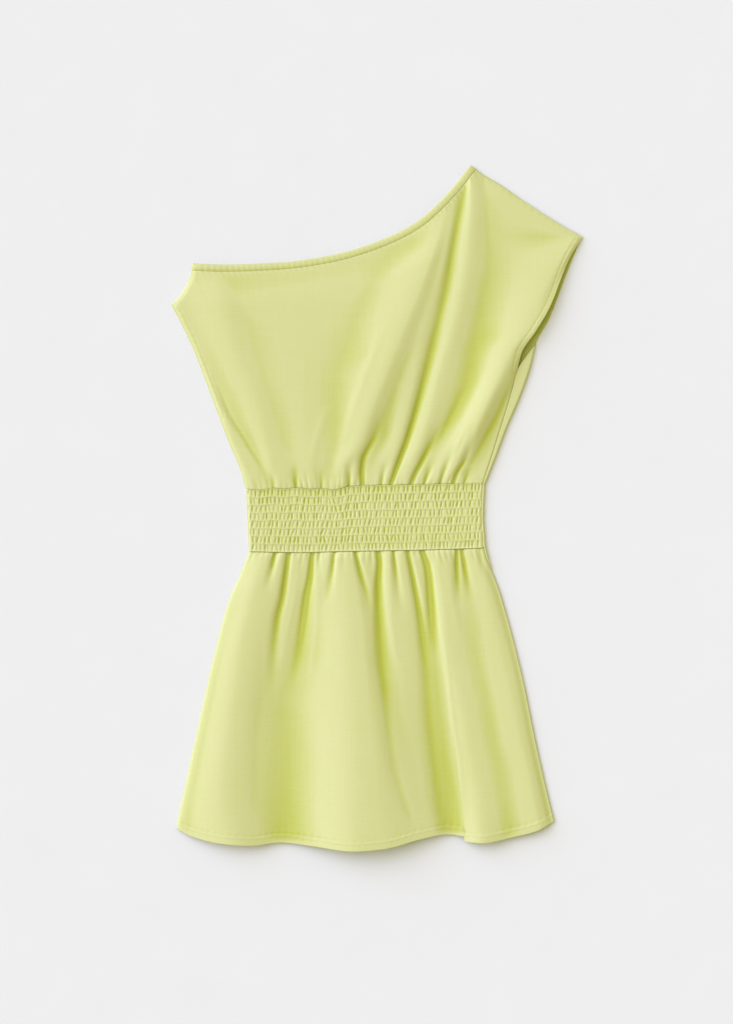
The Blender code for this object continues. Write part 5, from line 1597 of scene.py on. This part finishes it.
# %% Neck bindings
SECTION_POINTS = 16
BINDING_STEP = 1.5
BINDING_LIFT = 0.4
EDGE_STITCH_INSET = 1.3
PINCH_PITCH = 3.1
PINCH = 0.16
PINCH_BASE = 1.2
PINCH_WIDTH = 1.1
SQUARENESS = 0.55


def finer(neck, heights, step):
    """The same neckline with points at an even distance."""
    run = run_of(neck)
    places = np.linspace(0, run[-1], 2 * math.ceil(run[-1] / step / 2) + 1)
    line = np.column_stack([np.interp(places, run, neck[:, axis]) for axis in (0, 1)])
    return line, np.interp(places, run, heights), places


def neck_binding(name, neck, heights, drop, lift):
    line, level, run = finer(neck, heights, BINDING_STEP)
    sides = right_hand_side(line)
    top, bottom = level + lift, level - CLOTH
    turn = np.linspace(0, 2 * np.pi, SECTION_POINTS, endpoint=False)
    across = np.sign(np.cos(turn)) * np.abs(np.cos(turn)) ** SQUARENESS
    up = np.sign(np.sin(turn)) * np.abs(np.sin(turn)) ** SQUARENESS
    half_width = BINDING_WIDTH / 2
    inside = drop + half_width + half_width * across
    pinch = bell(BINDING_WIDTH + drop - EDGE_STITCH_INSET - inside, PINCH_WIDTH)
    depth = PINCH * (PINCH_BASE + np.cos(2 * np.pi * run / PINCH_PITCH))
    middle, half = (top + bottom) / 2, (top - bottom) / 2
    rise = middle[:, None] + half[:, None] * up - np.where(up > 0, 1, -1) * pinch * depth[:, None]
    grid = np.dstack((line[:, None] + inside[None, :, None] * sides[:, None], rise))
    index = np.arange(grid.shape[0] * SECTION_POINTS).reshape(grid.shape[:2])
    faces = quads_of(np.column_stack((index, index[:, 0]))).tolist()
    faces += [index[0].tolist(), index[-1, ::-1].tolist()]
    # Painted shade in the pinches: each point on the upper side is painted deeper by how far its pinch sinks
    # it
    deepest = (PINCH_BASE + 1) * PINCH
    shade_amount = (pinch * depth[:, None] / deepest * (up > 0)).reshape(-1)
    return make_piece(name, grid.reshape(-1, 3), faces, BINDING_CLOTH, shade_amount)


back_neck_height = np.full(len(back_neck), WALL)
front_neck_binding = neck_binding("front_neck_binding", front_neck, front_neck_height,
                                  NECK_DROP, BINDING_LIFT)
back_neck_binding = neck_binding("back_neck_binding", back_neck, back_neck_height, 0.0, 0.0)
print("neck binding:", round(front_neck_binding.dimensions.x / MM), "mm across")

# %% [markdown]
# ## One row of stitches
# Real stitches are short lengths of thread that come up through the cloth and go down again. Each is a
# little bent tube here, its ends sunk into the cloth. A row of them is one mesh, because hundreds of
# separate objects would slow Blender down.

# %% A row of stitches
THREAD_RADIUS = 0.17
STITCH = 2.5
STITCH_SPACE = 0.5
ROUND_SIDES = 6

# The rings of a stitch: place along it, share of the thread's radius, and lift in radii
STITCH_RINGS = ((-0.5, 0.5, -0.5), (-0.3, 1.0, 0.35), (0.3, 1.0, 0.35), (0.5, 0.5, -0.5))


def stitch_row(name, path, facing=1.0, thread=SEWING_THREAD):
    """Stitches along a path of points in millimetres, on a face that looks up (1) or down (-1)."""
    run = run_of(path)
    middles = np.arange(STITCH, run[-1] - STITCH / 2, STITCH + STITCH_SPACE)
    rings = np.array(STITCH_RINGS)
    places = middles[:, None] + rings[None, :, 0] * STITCH
    centres = np.stack([np.interp(places, run, path[:, axis]) for axis in range(3)], axis=-1)
    forward = centres[:, -1] - centres[:, 0]
    forward = forward / np.linalg.norm(forward, axis=1)[:, None]
    upward = np.array((0.0, 0.0, facing))
    sideways = np.cross(upward, forward)
    sideways = sideways / np.linalg.norm(sideways, axis=1)[:, None]
    turn = np.linspace(0, 2 * np.pi, ROUND_SIDES, endpoint=False)
    radius = THREAD_RADIUS * rings[:, 1, None]
    lift = (THREAD_RADIUS * rings[:, 2, None] + radius * np.sin(turn))[None, ..., None] * upward
    points = centres[:, :, None] + lift + (radius * np.cos(turn))[None, ..., None] * sideways[:, None, None]
    index = np.arange(points[..., 0].size).reshape(points.shape[:3])
    faces = []
    for stitch in index:
        faces += quads_of(np.column_stack((stitch, stitch[:, 0]))).tolist()
        faces += [stitch[0].tolist(), stitch[-1, ::-1].tolist()]
    return make_piece(name, points.reshape(-1, 3), faces, thread)


print("stitch in mm:", STITCH, "and the space to the next:", STITCH_SPACE)

# %% [markdown]
# ## Hem and armhole stitches
# Two rows hold the hem and one row holds each armhole, on the front and on the back. Each follows the
# relief of its own panel, so it sinks and rises with the cloth.

# %% Hem and armhole stitches
HEM_ROW_POINTS = 500
HEM_ROW_INSET = 5.0


def on_relief(x, y, height):
    return np.column_stack((x, y, height(x, y)))


def inset_line(line, inset, side):
    """A line moved sideways; side is 1 for its right-hand side and -1 for its left."""
    return line + side * inset * right_hand_side(line)


def hem_rows(height, rise, prefix, facing):
    made = []
    for label, up in (("upper", HEM_STITCH_UP), ("lower", HEM_SECOND_UP)):
        x = np.linspace(SKIRT_LEFT[0][1] + HEM_ROW_INSET, SKIRT_RIGHT[0][1] - HEM_ROW_INSET, HEM_ROW_POINTS)
        path = on_relief(x, hem_y(x) + rise + up, height)
        made.append(stitch_row(f"{prefix}_{label}_hem_stitches", path, facing))
    return made


def dense(line, start=0.02, end=0.98, count=120):
    return along(line, np.linspace(start, end, count))


front_sewing = hem_rows(skirt_height, 0.0, "front", 1.0)
back_sewing = hem_rows(back_skirt_relief, BACK_HEM_RISE, "back", -1.0)
left_seam_line = inset_line(dense(LEFT_ARMHOLE_LINE), ARMHOLE_STITCH_INSET, 1)
right_seam_line = inset_line(dense(RIGHT_ARMHOLE_LINE, 0.06, 0.96), ARMHOLE_STITCH_INSET, -1)
right_back_line = inset_line(dense(RIGHT_ARMHOLE_OUTER, 0.02, 0.96), ARMHOLE_STITCH_INSET, -1)
armhole_sewing = {}
for label, line, height, facing in (
        ("front_left", left_seam_line, bodice_height, 1.0),
        ("front_right", right_seam_line, bodice_height, 1.0),
        ("back_left", left_seam_line, back_bodice_relief, -1.0),
        ("back_right", right_back_line, back_bodice_relief, -1.0)):
    path = on_relief(line[:, 0], line[:, 1], height)
    armhole_sewing[label] = stitch_row(f"{label}_armhole_stitches", path, facing)
print("rows in the hem:", len(front_sewing) + len(back_sewing), "and in the armholes:", len(armhole_sewing))

# %% [markdown]
# ## Binding stitches
# The binding is held down by one row, a little above its lower side. It lies in the pinched groove that
# it makes, so it is sunk by about the depth of a pinch.

# %% Binding stitches
def binding_stitches(name, neck, face_height, drop, facing):
    """The row that holds the binding down, a little above its lower side, sunk into its pinched face."""
    line, level, _run = finer(neck, face_height - facing * 1.1 * PINCH, BINDING_STEP)
    path = line + (drop + BINDING_WIDTH - EDGE_STITCH_INSET) * right_hand_side(line)
    return stitch_row(name, np.column_stack((path, level))[3:-3], facing)


front_binding_stitches = binding_stitches(
    "front_neck_binding_stitches", front_neck, front_neck_height + BINDING_LIFT, NECK_DROP, 1.0)
back_binding_stitches = binding_stitches(
    "back_neck_binding_stitches", back_neck, back_neck_height - CLOTH, 0.0, -1.0)
print("binding stitches:", front_binding_stitches.name, back_binding_stitches.name)

# %% [markdown]
# ## Elastic threads
# Seven lines of elastic run between the eight rows of puckers. The needle zigzags over each, once for
# every pucker, so its stitches swing a little to either side.

# %% Elastic threads
ZIGZAG = 0.5


def elastic_rows(name, face, facing, level):
    """Elastic thread along each line between two rows of puckers, as one mesh for each line."""
    made = []
    for line in range(1, SMOCKING_ROWS):
        path = face[line * ROWS_A_PUCKER].copy()
        path[:, 1] += ZIGZAG * np.sin(np.arange(len(path)) * 2 * np.pi / COLUMNS_A_PUCKER + line)
        path[:, 2] += level
        made.append(stitch_row(f"{name}_{line}", path[4:-4], facing, ELASTIC_THREAD))
    return made


front_elastic = elastic_rows("front_elastic_row", band_front_face, 1.0, -0.06)
back_elastic = elastic_rows("back_elastic_row", band_back_face, -1.0, 0.0)
print("elastic rows:", len(front_elastic) + len(back_elastic))

# %% [markdown]
# ## What each piece is
# Every piece rides on the one body of the dress, because cloth has no joint. Each shell stands for its
# solid, which stays behind for collision, and states the size that it was cut to before it was gathered,
# sewn and laid out. The stitches go with the cloth that they hold.

# %% Panels, their cut sizes and their sewing
Panel = namedtuple("Panel", "piece solid slot cut area held rests_on sewing")
PANELS = (
    Panel(front_bodice_cloth, "bodice_front", "dress_cloth", (0.52, 0.43), 0.163, "laid",
          ["back_bodice_cloth"], [armhole_sewing["front_left"], armhole_sewing["front_right"]]),
    Panel(back_bodice_cloth, "bodice_back", "dress_cloth", (0.52, 0.43), 0.163, "laid",
          ["table_top"], [armhole_sewing["back_left"], armhole_sewing["back_right"]]),
    Panel(front_skirt_cloth, "skirt_front", "dress_cloth", (0.50, 0.375), 0.172, "gathered",
          ["back_skirt_cloth"], front_sewing),
    Panel(back_skirt_cloth, "skirt_back", "dress_cloth", (0.50, 0.375), 0.165, "gathered",
          ["table_top"], back_sewing),
    Panel(smocked_band_front, "waistband_front", "smocked_cloth", (0.38, 0.08), None, "gathered",
          ["smocked_band_back"], front_elastic),
    Panel(smocked_band_back, "waistband_back", "smocked_cloth", (0.32, 0.08), None, "gathered",
          ["table_top"], back_elastic),
    Panel(front_neck_binding, "neck_binding_front", "binding_cloth", (0.40, 0.011), None, "folded",
          ["front_bodice_cloth"], [front_binding_stitches]),
    Panel(back_neck_binding, "neck_binding_back", "binding_cloth", (0.40, 0.011), None, "folded",
          ["back_bodice_cloth"], [back_binding_stitches]),
)

for panel in PANELS:
    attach(panel.piece, "root")
    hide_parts(panel.solid)
    for row in panel.sewing:
        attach(row, "root")

triangles = {piece.name: sum(len(face.vertices) - 2 for face in piece.data.polygons)
             for piece in bpy.data.objects if piece.type == "MESH" and piece.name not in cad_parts}
print("triangles:", triangles, "in all", sum(triangles.values()))
